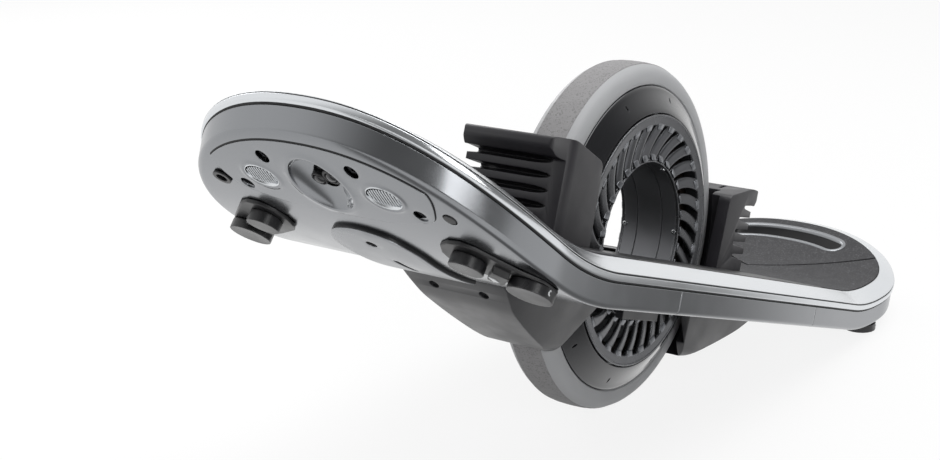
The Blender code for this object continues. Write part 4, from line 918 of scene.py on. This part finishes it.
def foot_stop_mesh():
    """A stop that leans over the foot: a thick lip, and five long grooves that run out at one side."""
    side = rounded([(130, -17.4), (133, 58), (182, 70), (197, 69.5), (198.3, 62), (193, 53.5),
                    (STOP_FACE_X, 52), (STOP_FACE_X, -17.4)], (0.5, 7, 5, 3.5, 3, 2.5, 1.5, 0.5))
    plan = rounded([(110, -49.7), (198.3, -49.7), (198.3, 34.7), (183, 49.7), (110, 49.7)], (0, 2.5, 5, 5, 0))
    stop = carved(along_board(side, 60), slab(plan, -30, 90), operation="INTERSECT")
    grooves = [groove_cutter(50.4 - GROOVE_PITCH * i, depth) for i, depth in enumerate(GROOVE_DEPTHS)]
    return carved(stop, *wheel_space(), *grooves, block((15, 4, 5), (171, -22, 67.5)))


def fender_mesh():
    """The shield under the board's end of the wheel well: a long slope with a blunt, sided tip."""
    side = rounded([(92, -52.4), (95, -63.3), (121, -100), (126, -105.2), (134, -105.2), (140, -103.9),
                    (160, -97.4), (190, -86.8), (222, -73.5), (237, -63.5), (246, -57), (252, -52.4)],
                   (0, 2, 4, 2, 3, 5, 10, 14, 8, 5, 4, 0))
    section = rounded([(-52.4, 49.7), (-57.3, 49.7), (-105.6, 32.7), (-105.6, -32.7), (-57.3, -49.7),
                       (-52.4, -49.7)], (0, 6, 9, 9, 6, 0))
    body = moved(slab(section, 60, 280), about("Y", 90) @ about("Z", 180))
    pits = [moved(cylinder(4.5, -8, 3.5, 24), shift(237, y, -63.5) @ about("Y", -36)) for y in (-24, 24)]
    fender = carved(along_board(side, 60), body, operation="INTERSECT")
    return carved(fender, *wheel_space(), *pits)


# Service plates and skid fittings

PLATE_THICKNESS = 3.3
# Depth of the black lower layer of each service plate, whose edge is painted shade
PLATE_PAINTED_SHADE_BAND = 2.5
PLATE_SCREW_X = 360
PLATE_LOW = UNDERSIDE - PLATE_THICKNESS


def service_plate_mesh(low, high):
    """A layer of the service plate between two depths under the deck, with its screw hole and slot."""
    side = [(377, 26), (356, 40), (275, 40)]
    outline = [(x, -y) for x, y in reversed(side)] + [(384, 0)] + side
    loops = [rounded(outline, (3, 14, 10, 14, 10, 14, 3)), oval((PLATE_SCREW_X, 0), (4.5, 4.5), 28),
             rounded([(296, -3), (328, -3), (328, 3), (296, 3)], [2.9] * 4)]
    layer = filled("plate", [dense(loop, 5) for loop in loops], 7, lambda x, y: UNDERSIDE - high + kick(x))
    return modified(cleaned(layer, distance=5e-5), wall(high - low, even=False), rounding(0.25))


def skid_places():
    """Screws beside the inner pucks, and the small links between pucks and blocks, at all corners."""
    screws, links, bolts = [], [], []
    for side in (-1, 1):
        screws.append(under_place(381, side * 107, 1.2, PLATE_LOW))
        links.append(under_place(353, side * 104, -2.4, PLATE_LOW))
        bolts.append(shift(346, side * 144.6, UNDERSIDE + kick(346) - 6.5) @ about("X", -90 * side))
    return [places + at_nose(places) for places in (screws, links, bolts)]


# Wheel

BEARING_SEAT = 20.7
TREAD_HALF_WIDTH = 14.5


def face_height(radius):
    share = (radius - BORE_RADIUS) / (HUB_RADIUS - BORE_RADIUS)
    return HUB_HALF_WIDTH - HUB_DISH * (1 - share)


def tread_mesh():
    """The tyre's textured running band, with a fine ridge along both of its edges."""
    half, top = TREAD_HALF_WIDTH, TYRE_RADIUS
    side = [(top - 6, half), (top - 1.45, half), (top - 0.9, half - 0.8), (top - 1.0, half - 1.8)]
    side += [(top - 0.25, half * 0.62), (top, half * 0.2)]
    return turned("tread", both_ways(side), 192)


def tyre_mesh():
    half, bead = TYRE_HALF_WIDTH, RIM_RADIUS + GAP
    side = [(0, half - 2), (1.0, half - 0.6), (3.2, half - 0.1), (6.5, half), (9.5, half * 0.985),
            (12, half * 0.95), (14.3, half * 0.89), (16.2, half * 0.8), (17.8, half * 0.67), (18.3, half * 0.6)]
    side = [(bead + rise, y) for rise, y in side] + [(TYRE_RADIUS - 2.4, half * 0.5)]
    return turned("tyre", both_ways(side), 192)


def face_plate_mesh(side):
    """The dark cone between tyre and hub, with a ring of small screw pockets."""
    inner = HUB_RADIUS + 0.8
    top = face_height(HUB_RADIUS) - 1.5
    low = TYRE_HALF_WIDTH - 3
    outer = [(0, 0), (0, 2.2), (0.7, 3.2), (3, 4.1), (8, 6.6), (14, 9.9), (19, 12.4)]
    profile = [(RIM_RADIUS - inset, low + rise) for inset, rise in outer]
    profile += [(inner + 2.2, top - 0.4), (inner + 0.8, top), (inner, top - 0.5), (inner, BEARING_SEAT),
                (inner + 3, BEARING_SEAT), (inner + 3, low)]
    pockets = []
    for i in range(10):
        pocket = slab(oval((0, 0), (2.6, 1.3), 16), -5, 5)
        pockets.append(moved(pocket, about("Y", 36 * i + 22) @ shift(RIM_RADIUS - 10, side * (low + 8.5), 0)
                             @ about("X", 90)))
    return carved(turned("face", profile, side=side), joined(pockets))


def vane_mesh(side):
    """One broad curved blade with rounded edges, turned a little like a turbine's."""
    first, last = BORE_RADIUS + 1.4, HUB_RADIUS - 9.4
    rows = []
    for i in range(15):
        share = i / 14
        radius = first + (last - first) * share
        angle = side * math.radians(13) * share ** 1.3
        width = TURN * radius / 30 - (5.4 + 2.2 * share)
        lean = math.radians(13) * (1 - 0.7 * share)
        centre = Vector((radius * math.cos(angle), 0, radius * math.sin(angle)))
        out = centre.normalized()
        across = Vector((-out.z, 0, out.x)) * side
        top = face_height(radius) - 0.25
        row = []
        for u, v in ((-1, -0.9), (-1, 0.1), (-0.95, 0.6), (-0.82, 0.9), (-0.4, 1.0), (0.4, 1.0), (0.82, 0.9),
                     (0.95, 0.6), (1, 0.1), (1, -0.9)):
            point = centre + across * (u * width / 2)
            point.y = side * (top - 1.4 + v * 1.4 - (1 - u) * width / 2 * math.sin(lean))
            row.append(point)
        rows.append(row)
    return solid("vane", rows)


def hub_rings_mesh(side):
    """The thin ring at the bore and the flat one that carries the blades' outer ends."""
    level = face_height(BORE_RADIUS)
    inner = [(BORE_RADIUS + out, level - drop) for out, drop in (
        (0, 3), (0, 0.6), (0.5, 0.1), (1.3, 0.1), (1.9, 0.8), (2, 3))]
    level = face_height(HUB_RADIUS)
    outer = [(HUB_RADIUS - inset, level - drop) for inset, drop in (
        (10, 4), (10, 1.9), (9.2, 1.2), (2.4, 0.5), (1.9, 0.05), (0.7, 0.05), (0.2, 0.6), (0.2, 2.4),
        (7.3, 3.2))]
    outer += [(HUB_RADIUS - inset, BEARING_SEAT + GAP) for inset in (7.3, 10.2)]
    return [turned("ring", profile, side=side) for profile in (inner, outer)]


def blade_ends(side, count):
    """The lighter tips at the blades' inner ends and the studs at their outer ends: a painted highlight where
    the ends catch the light.
    """
    ends = []
    for length, width, radius, lead, slant in ((6.4, 7.4, BORE_RADIUS + 4.6, 0, -20),
                                               (6.0, 9.5, HUB_RADIUS - 11.5, -12, 12)):
        end = modified(block((length, 1.8, width)), rounding(0.85, 3))
        place = shift(radius, side * (face_height(radius) - 0.9), 0) @ about("Z", side * slant)
        places = [about("Y", 360 * i / count + side * lead) @ place for i in range(count)]
        ends.append(repeated(end, places, "tip"))
    return joined(ends)


def bore_mesh():
    """The open hub's tube, with one fine groove near either end."""
    half, groove = face_height(BORE_RADIUS) - 3.3, 13.0
    side = [(BORE_RADIUS + 4, half), (BORE_RADIUS + 0.4, half), (BORE_RADIUS, half - 0.4)]
    side += [(BORE_RADIUS + deep, groove + y) for deep, y in ((0, 0.8), (1.2, 0.5), (1.2, -0.5), (0, -0.8))]
    return turned("bore", both_ways(side))


# Repeated parts

def repeat_tree():
    """Sets a part on each point, turned as the point says, and joins the copies."""
    tree = bpy.data.node_groups.get("set_part_on_points")
    if tree:
        return tree
    tree = bpy.data.node_groups.new("set_part_on_points", "GeometryNodeTree")
    for name, kind in (("Points", "Geometry"), ("Part", "Object"), ("Size", "Float"), ("Loose turn", "Float"),
                       ("Seed", "Int"), ("Material", "Material")):
        tree.interface.new_socket(name, in_out="INPUT", socket_type="NodeSocket" + kind)
    tree.interface.new_socket("Result", in_out="OUTPUT", socket_type="NodeSocketGeometry")
    add = partial(add_node, tree)
    given = add("NodeGroupInput").outputs
    part = add("GeometryNodeObjectInfo", {"Object": given["Part"]}).outputs["Geometry"]
    turn, stretch = [add("GeometryNodeInputNamedAttribute", {"Name": name}, data_type="FLOAT_VECTOR")
                     for name in ("turn", "stretch")]
    loose = add("FunctionNodeRandomValue", {"Max": given["Loose turn"], "Seed": given["Seed"]},
                data_type="FLOAT")
    spin = add("ShaderNodeCombineXYZ", {"Z": loose})
    grown = add("ShaderNodeVectorMath", {0: stretch, "Scale": given["Size"]}, operation="SCALE")
    rotation = add("FunctionNodeRotateRotation", {"Rotation": turn, "Rotate By": spin},
                   rotation_space="LOCAL")
    copies = add("GeometryNodeInstanceOnPoints", {"Points": given["Points"], "Instance": part,
                                                  "Rotation": rotation, "Scale": grown})
    real = add("GeometryNodeRealizeInstances", {"Geometry": copies})
    done = add("GeometryNodeSetMaterial", {"Geometry": real, "Material": given["Material"]})
    add("NodeGroupOutput", {"Result": done})
    return tree


def repeated(part, places, finish, loose=0.0, seed=1, stretches=None):
    """One mesh of a part at each place, a matrix in the board's frame, made by the node tree."""
    tree = repeat_tree()
    points = bpy.data.meshes.new("places")
    points.from_pydata([place.translation for place in places], [], [])
    turns = points.attributes.new("turn", "FLOAT_VECTOR", "POINT")
    lengths = points.attributes.new("stretch", "FLOAT_VECTOR", "POINT")
    for i, place in enumerate(places):
        turns.data[i].vector = place.to_euler()
        lengths.data[i].vector = stretches[i] if stretches else (1, 1, 1)
    tool = link("part", part)
    obj = link("places", points)
    modifier = obj.modifiers.new("repeat", "NODES")
    modifier.node_group = tree
    given = {"Part": tool, "Size": 1.0, "Loose turn": loose, "Seed": seed, "Material": FINISHES[finish]}
    for item in tree.interface.items_tree:
        if item.name in given:
            modifier[item.identifier] = given[item.name]
    mesh = frozen(obj)
    bpy.data.objects.remove(tool, do_unlink=True)
    return mesh


def socket_screw(radius, height, socket, steps=20):
    """A cap screw's head, its axis on Z, with a hexagon socket."""
    head = modified(cylinder(radius, -height, 0, steps), rounding(radius * 0.12))
    return carved(head, cylinder(socket, -height * 0.55, height, 6))


# Studio

LIFT = 0.86
ROOM_FILL = 0.4
DARK_SIDE = 0.22
LAMPS = (("top_softbox", (0.3, -0.4, 2.2), (2.4, 1.6), 36),
         ("front_softbox", (-1.6, -2.2, 1.3), (1.4, 1.2), 19),
         ("back_softbox", (1.2, 2.4, 1.4), (1.8, 1.2), 24))


def looks(tree):
    """One for camera rays, and one for the rays that metal and glass send out; else nought."""
    path = add_node(tree, "ShaderNodeLightPath").outputs
    return path["Is Camera Ray"], add_node(tree, "ShaderNodeMath", {0: path["Is Glossy Ray"],
                                                                    1: path["Is Transmission Ray"]},
                                           operation="MAXIMUM")


def floor_material(colour):
    """Pale seamless paper, white to the camera with its shadow kept; reflections see a painted glow with a dark
    band.
    """
    material = bpy.data.materials.new("pale_seamless_paper")
    material.use_nodes = True
    tree = material.node_tree
    add = partial(add_node, tree)
    place = add("ShaderNodeTexCoord").outputs["Object"]
    fibre = add("ShaderNodeTexNoise", {"Vector": place, "Scale": 900.0, "Detail": 2.0})
    relief = add("ShaderNodeBump", {"Strength": 0.05, "Distance": 0.0002, "Height": fibre})
    paper = feed(tree, tree.nodes["Principled BSDF"], {"Base Color": tuple(colour), "Roughness": 0.35,
                                                       "Specular IOR Level": 0.25, "Normal": relief})
    camera, mirrored_in = looks(tree)
    # Painted light for reflections only: a white glow across the floor with a painted dark band on the near
    # side, where a dim studio side would be
    across = add("ShaderNodeVectorMath", {0: place, 1: (0.385, 0.923, 0)}, operation="DOT_PRODUCT")
    reach = add("ShaderNodeMapRange", {"Value": across, "From Min": -0.5, "From Max": 0.5})
    painted_reflection_band = add("ShaderNodeValToRGB", {"Fac": reach})
    ramp = painted_reflection_band.color_ramp
    ramp.interpolation = "EASE"
    ramp.elements[0].position, ramp.elements[0].color, ramp.elements[1].position = 0.05, (1, 1, 1, 1), 0.44
    for offset in (0.19, 0.28):
        ramp.elements.new(offset).color = (DARK_SIDE, DARK_SIDE, DARK_SIDE, 1)
    strength = add("ShaderNodeMix", {"Factor": mirrored_in, "A": 1.0, "B": painted_reflection_band}, data_type="FLOAT")
    direct = add("ShaderNodeMath", {0: camera, 1: LIFT}, operation="MULTIPLY")
    share = add("ShaderNodeMath", {0: mirrored_in, 1: 0.9, 2: direct}, operation="MULTIPLY_ADD")
    lift = add("ShaderNodeEmission", {"Color": (1, 1, 1, 1), "Strength": strength})
    total = add("ShaderNodeMixShader", {0: share, 1: paper, 2: lift})
    feed(tree, tree.nodes["Material Output"], {"Surface": total})
    return material


def build_world(colour):
    """White to the camera, a soft fill for dull surfaces, and for mirrors a room whose near side is dim."""
    world = bpy.data.worlds.new("studio_room")
    bpy.context.scene.world = world
    world.use_nodes = True
    tree = world.node_tree
    add = partial(add_node, tree)
    camera, mirrored_in = looks(tree)
    place = add("ShaderNodeTexCoord").outputs["Generated"]
    far = add("ShaderNodeVectorMath", {0: place, 1: (0.4, 0.8, 0.45)}, operation="DOT_PRODUCT")
    glow = add("ShaderNodeMapRange", {"Value": far, "From Min": -0.3, "From Max": 0.45, "To Min": DARK_SIDE,
                                      "To Max": 1.0}, interpolation_type="SMOOTHSTEP")
    dull = add("ShaderNodeMix", {"Factor": mirrored_in, "A": ROOM_FILL, "B": glow}, data_type="FLOAT")
    strength = add("ShaderNodeMix", {"Factor": camera, "A": dull, "B": 1.0}, data_type="FLOAT")
    feed(tree, tree.nodes["Background"], {"Color": tuple(colour), "Strength": strength})


def build_lamps():
    for name, place, size, watts in LAMPS:
        light = bpy.data.lights.new(name, "AREA")
        light.shape = "RECTANGLE"
        light.size, light.size_y = size
        light.energy = watts
        lamp = link(name, light)
        lamp.location = place
        lamp.rotation_euler = (Vector((0, 0, 0.16)) - lamp.location).to_track_quat("-Z", "Y").to_euler()


def build_camera():
    """The photograph's viewpoint, turned about the axle from the photographed tilt to the rest tilt."""
    azimuth, elevation, roll = (math.radians(v) for v in (-55.55, 14.37, -1.48))
    eye = Vector((-7.336, -4.039, 2.143)) * TYRE_RADIUS * MM
    forward = Vector((-math.sin(azimuth) * math.cos(elevation), math.cos(azimuth) * math.cos(elevation),
                      -math.sin(elevation)))
    right = forward.cross(Vector((0, 0, 1))).normalized()
    down = forward.cross(right)
    across = math.cos(roll) * right + math.sin(roll) * down
    below = -math.sin(roll) * right + math.cos(roll) * down
    turn = Matrix.Rotation(REST_TILT - PHOTO_TILT, 3, "Y")
    axes = Matrix([turn @ v for v in (across, -below, -forward)]).transposed()
    camera = bpy.data.cameras.new("camera")
    camera.sensor_width = 36
    camera.lens = 1500 / 940 * 36
    camera.clip_start, camera.clip_end = 0.05, 60
    holder = link("camera", camera)
    holder.matrix_world = Matrix.Translation(WHEEL_CENTRE + turn @ eye) @ axes.to_4x4()
    bpy.context.scene.camera = holder


# Operators

class SkateboardSizes(bpy.types.PropertyGroup):
    vane_count: IntProperty(name="Vanes", description="Vanes round each face of the hub", default=30,
                            min=12, max=60)
    screw_turn: FloatProperty(name="Loose turn", description="How far each screw's socket may be turned",
                              default=1.0, min=0.0, subtype="ANGLE")
    floor_size: FloatProperty(name="Floor", description="Length of the studio floor's side", default=24.0,
                              min=4.0, unit="LENGTH")


class SkateboardColours(bpy.types.PropertyGroup):
    floor: FloatVectorProperty(name="Floor", description="Colour of the studio floor", subtype="COLOR",
                               size=4, min=0.0, max=1.0, default=linear("#F2F2F2"))
    room: FloatVectorProperty(name="Room", description="Colour of the light that fills the room",
                              subtype="COLOR", size=4, min=0.0, max=1.0, default=linear("#FFFFFF"))


class SkateboardOperator:
    bl_options = {"REGISTER", "UNDO"}

    def execute(self, context):
        self.make(context.scene.skateboard_sizes)
        return {"FINISHED"}


class SKATEBOARD_OT_finish_solids(SkateboardOperator, bpy.types.Operator):
    """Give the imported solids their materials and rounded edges"""
    bl_idname = "skateboard.finish_solids"
    bl_label = "Finish the solids"

    def make(self, sizes):
        FINISHES.update(make_materials())
        for finish, names in KEPT_NODES.items():
            for name in names.split():
                finish_node(frame["nodes"][name], FINISHES[finish], SOFT_EDGES.get(finish, 0.3))


class SKATEBOARD_OT_add_rim(SkateboardOperator, bpy.types.Operator):
    """Draw the silver rim round the deck"""
    bl_idname = "skateboard.add_rim"
    bl_label = "Rim"

    def make(self, sizes):
        place_piece("drawn_rim", rim_mesh(), "rim", "nose_rim_frame", "tail_rim_frame")
        # The black strip in the rim's groove is painted shade; the bead under the rim is a seal
        place_piece("rim_beads", bead_mesh(), "bead")


class SKATEBOARD_OT_add_handles(SkateboardOperator, bpy.types.Operator):
    """Lay the grip pads and line both carrying slots"""
    bl_idname = "skateboard.add_handles"
    bl_label = "Carrying slots"

    def make(self, sizes):
        pads, lip, tray = grip_mesh(), handle_lip_mesh(), handle_tray_mesh()
        for end, along in ENDS:
            lined = [end + "_handle_liner"] + (["nose_handle_floor"] if end == "nose" else [])
            place_piece(end + "_grip_sheet", mirrored(pads, along), "grip", end + "_grip")
            place_piece(end + "_slot_lip", mirrored(lip, along), "plate", *lined, slot="silver_rim")
            place_piece(end + "_slot_tray", mirrored(tray, along), "plastic")


class SKATEBOARD_OT_add_shells(SkateboardOperator, bpy.types.Operator):
    """Draw the lower shells of both ends and both rails"""
    bl_idname = "skateboard.add_shells"
    bl_label = "Shells"

    def make(self, sizes):
        place_piece("tail_lower_shell", end_shell_mesh(), "shell", "tail_shell")
        ports = [oval((PORT[0], side * PORT[1]), (radius,) * 2, 32) for side, radius in PORT_RADII]
        place_piece("nose_lower_shell", moved(end_shell_mesh(ports), about("Z", 180)), "shell", "nose_shell")
        rail = rail_shell_mesh()
        for name, side in (("left", 1), ("right", -1)):
            place_piece(name + "_rail_skirt", mirrored(rail, along_y=side), "shell", name + "_rail_shell")


class SKATEBOARD_OT_add_panels(SkateboardOperator, bpy.types.Operator):
    """Draw the panels round the lamps, the lamps and the grilles"""
    bl_idname = "skateboard.add_panels"
    bl_label = "Panels"

    def make(self, sizes):
        place_piece("nose_lamp_panel", mirrored(panel_mesh(speakers=True), -1), "shell", "nose_panel")
        place_piece("tail_lamp_panel", panel_mesh(speakers=False), "shell", "tail_panel")
        # The scoop's two mirror-bright crescents are painted highlights
        bead, painted_highlight_crescents = panel_bead_mesh(), joined([highlight_crescent_mesh(-28, 62, 0.65), highlight_crescent_mesh(-62, -158, 0.72)])
        collars, domes = lamp_parts()
        for end, along in ENDS:
            place_piece(end + "_panel_bead", mirrored(bead, along), "bead")
            place_piece(end + "_lamp_trims", mirrored(painted_highlight_crescents, along), "mirror")
            place_piece(end + "_lamp_collars", mirrored(collars, along), "plastic", end + "_lamp")
            place_piece(end + "_lamp_domes", mirrored(domes, along), "lens")
        places, lengths = grille_places()
        bar = modified(block((2, 1.15, 1.2)), rounding(0.3))
        place_piece("nose_grille_bars", repeated(bar, places, "bolt", stretches=lengths), "rim",
                    "nose_left_grille", "nose_right_grille", slot="satin_shell")
        place_piece("nose_grille_bezels", moved(bezel_mesh(), about("Z", 180)), "rim", slot="satin_shell")


class SKATEBOARD_OT_add_stops(SkateboardOperator, bpy.types.Operator):
    """Mould the foot stops and the fenders at both ends of the wheel well"""
    bl_idname = "skateboard.add_stops"
    bl_label = "Foot stops and fenders"

    def make(self, sizes):
        stop, fender = foot_stop_mesh(), fender_mesh()
        for end, along in ENDS:
            place_piece(end + "_moulded_foot_stop", mirrored(stop, along, along), "stop", end + "_foot_stop",
                        smooth=30, soft=1.1)
            place_piece(end + "_moulded_fender", mirrored(fender, along), "fender", end + "_fender",
                        smooth=30, soft=1.4)


class SKATEBOARD_OT_add_plates(SkateboardOperator, bpy.types.Operator):
    """Lay the service plates and fit the skids' screws, links and bolts"""
    bl_idname = "skateboard.add_plates"
    bl_label = "Service plates and skid fittings"

    def make(self, sizes):
        # The black lower layer paints shade on the plate's edge; only the thin skin on it is the pale plate
        painted_edge_shade_layer = service_plate_mesh(0.0, PLATE_PAINTED_SHADE_BAND)
        skin = service_plate_mesh(PLATE_PAINTED_SHADE_BAND, PLATE_THICKNESS)
        for end, along in ENDS:
            place_piece(end + "_plate_backing", mirrored(painted_edge_shade_layer, along), "plastic", end + "_service_plate")
            place_piece(end + "_plate_skin", mirrored(skin, along), "plate")
        screws, links, bolts = skid_places()
        hole = [under_place(PLATE_SCREW_X, 0, 1.6, PLATE_LOW)]
        loose = sizes.screw_turn
        heads = repeated(socket_screw(3.4, 2.4, 1.5), screws + hole + at_nose(hole), "screw", loose, seed=5)
        place_piece("plate_screws", heads, "screw")
        joints = repeated(modified(block((9, 6, 5)), rounding(1.2, 3)), links, "bolt")
        place_piece("skid_links", joints, "bolt")
        pins = repeated(socket_screw(2.4, 1.6, 1.1, 16), bolts, "bolt", loose, seed=9)
        place_piece("puck_bolts", pins, "bolt")


class SKATEBOARD_OT_add_wheel(SkateboardOperator, bpy.types.Operator):
    """Draw the tyre, the face plates, the vanes and the bore"""
    bl_idname = "skateboard.add_wheel"
    bl_label = "Wheel"

    def make(self, sizes):
        place_piece("moulded_tyre", tyre_mesh(), "tyre", "tyre", body="wheel")
        place_piece("tyre_tread", tread_mesh(), "tread", body="wheel")
        count = sizes.vane_count
        turns = [about("Y", 360 * i / count) for i in range(count)]
        for name, side in (("left", 1), ("right", -1)):
            place_piece(name + "_wheel_cone", face_plate_mesh(side), "face", name + "_face_plate",
                        body="wheel")
            # The blade ends' lighter colour is a painted highlight
            place_piece(name + "_blade_ends", blade_ends(side, count), "tip")
            vanes = joined([repeated(vane_mesh(side), turns, "vane")] + hub_rings_mesh(side))
            place_piece(name + "_vane_ring", vanes, "vane", name + "_louvre_ring")
        place_piece("grooved_bore", bore_mesh(), "bore", "stator_tube")
        places = [about("Y", 60 * i - 10.7) @ shift(BORE_RADIUS - 0.9, side * 26.3, 0) @ about("Y", -90)
                  for i in range(6) for side in (-1, 1)]
        bolts = repeated(socket_screw(2.3, 2.2, 1.1, 16), places, "bolt", sizes.screw_turn, seed=7)
        place_piece("bore_bolts", bolts, "bolt")


class SKATEBOARD_OT_add_screws(SkateboardOperator, bpy.types.Operator):
    """Set the panels' screws"""
    bl_idname = "skateboard.add_screws"
    bl_label = "Screws"

    def make(self, sizes):
        tail = [under_place(x, y, 2.6, PANEL_LOW) for x, y in PANEL_SCREWS]
        screws = repeated(socket_screw(4.9, 3, 2.2), tail + at_nose(tail), "screw", sizes.screw_turn, seed=3)
        place_piece("panel_screws", screws, "screw")


class SKATEBOARD_OT_build_studio(SkateboardOperator, bpy.types.Operator):
    """Build the floor, the lights and the camera"""
    bl_idname = "skateboard.build_studio"
    bl_label = "Studio"

    def make(self, sizes):
        colours = bpy.context.scene.skateboard_colours
        half = sizes.floor_size / 2 / MM
        corners = [(x * half, y * half, 0) for x, y in ((-1, -1), (1, -1), (1, 1), (-1, 1))]
        floor = link("floor", mesh_of("floor", corners, [(0, 1, 2, 3)]))
        floor.data.materials.append(floor_material(colours.floor))
        build_world(colours.room)
        build_lamps()
        build_camera()


OPERATORS = (SKATEBOARD_OT_finish_solids, SKATEBOARD_OT_add_rim, SKATEBOARD_OT_add_handles,
             SKATEBOARD_OT_add_shells, SKATEBOARD_OT_add_panels, SKATEBOARD_OT_add_stops,
             SKATEBOARD_OT_add_plates, SKATEBOARD_OT_add_wheel, SKATEBOARD_OT_add_screws,
             SKATEBOARD_OT_build_studio)


class SKATEBOARD_PT_panel(bpy.types.Panel):
    bl_idname = "SKATEBOARD_PT_panel"
    bl_label = "One-wheeled skateboard"
    bl_space_type = "VIEW_3D"
    bl_region_type = "UI"
    bl_category = "Skateboard"

    def draw(self, context):
        for group in (context.scene.skateboard_sizes, context.scene.skateboard_colours):
            for name in group.bl_rna.properties.keys():
                if name not in ("rna_type", "name"):
                    self.layout.prop(group, name)
        for operator in OPERATORS:
            self.layout.operator(operator.bl_idname)


CLASSES = (SkateboardSizes, SkateboardColours, *OPERATORS, SKATEBOARD_PT_panel)


def register():
    for item in CLASSES:
        bpy.utils.register_class(item)
    bpy.types.Scene.skateboard_sizes = PointerProperty(type=SkateboardSizes)
    bpy.types.Scene.skateboard_colours = PointerProperty(type=SkateboardColours)


def unregister():
    del bpy.types.Scene.skateboard_colours
    del bpy.types.Scene.skateboard_sizes
    for item in reversed(CLASSES):
        bpy.utils.unregister_class(item)


def main():
    register()
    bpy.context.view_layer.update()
    for operator in OPERATORS:
        group, name = operator.bl_idname.split(".")
        getattr(getattr(bpy.ops, group), name)()
    bpy.context.scene.view_settings.view_transform = "Standard"


if __name__ == "__main__":
    main()
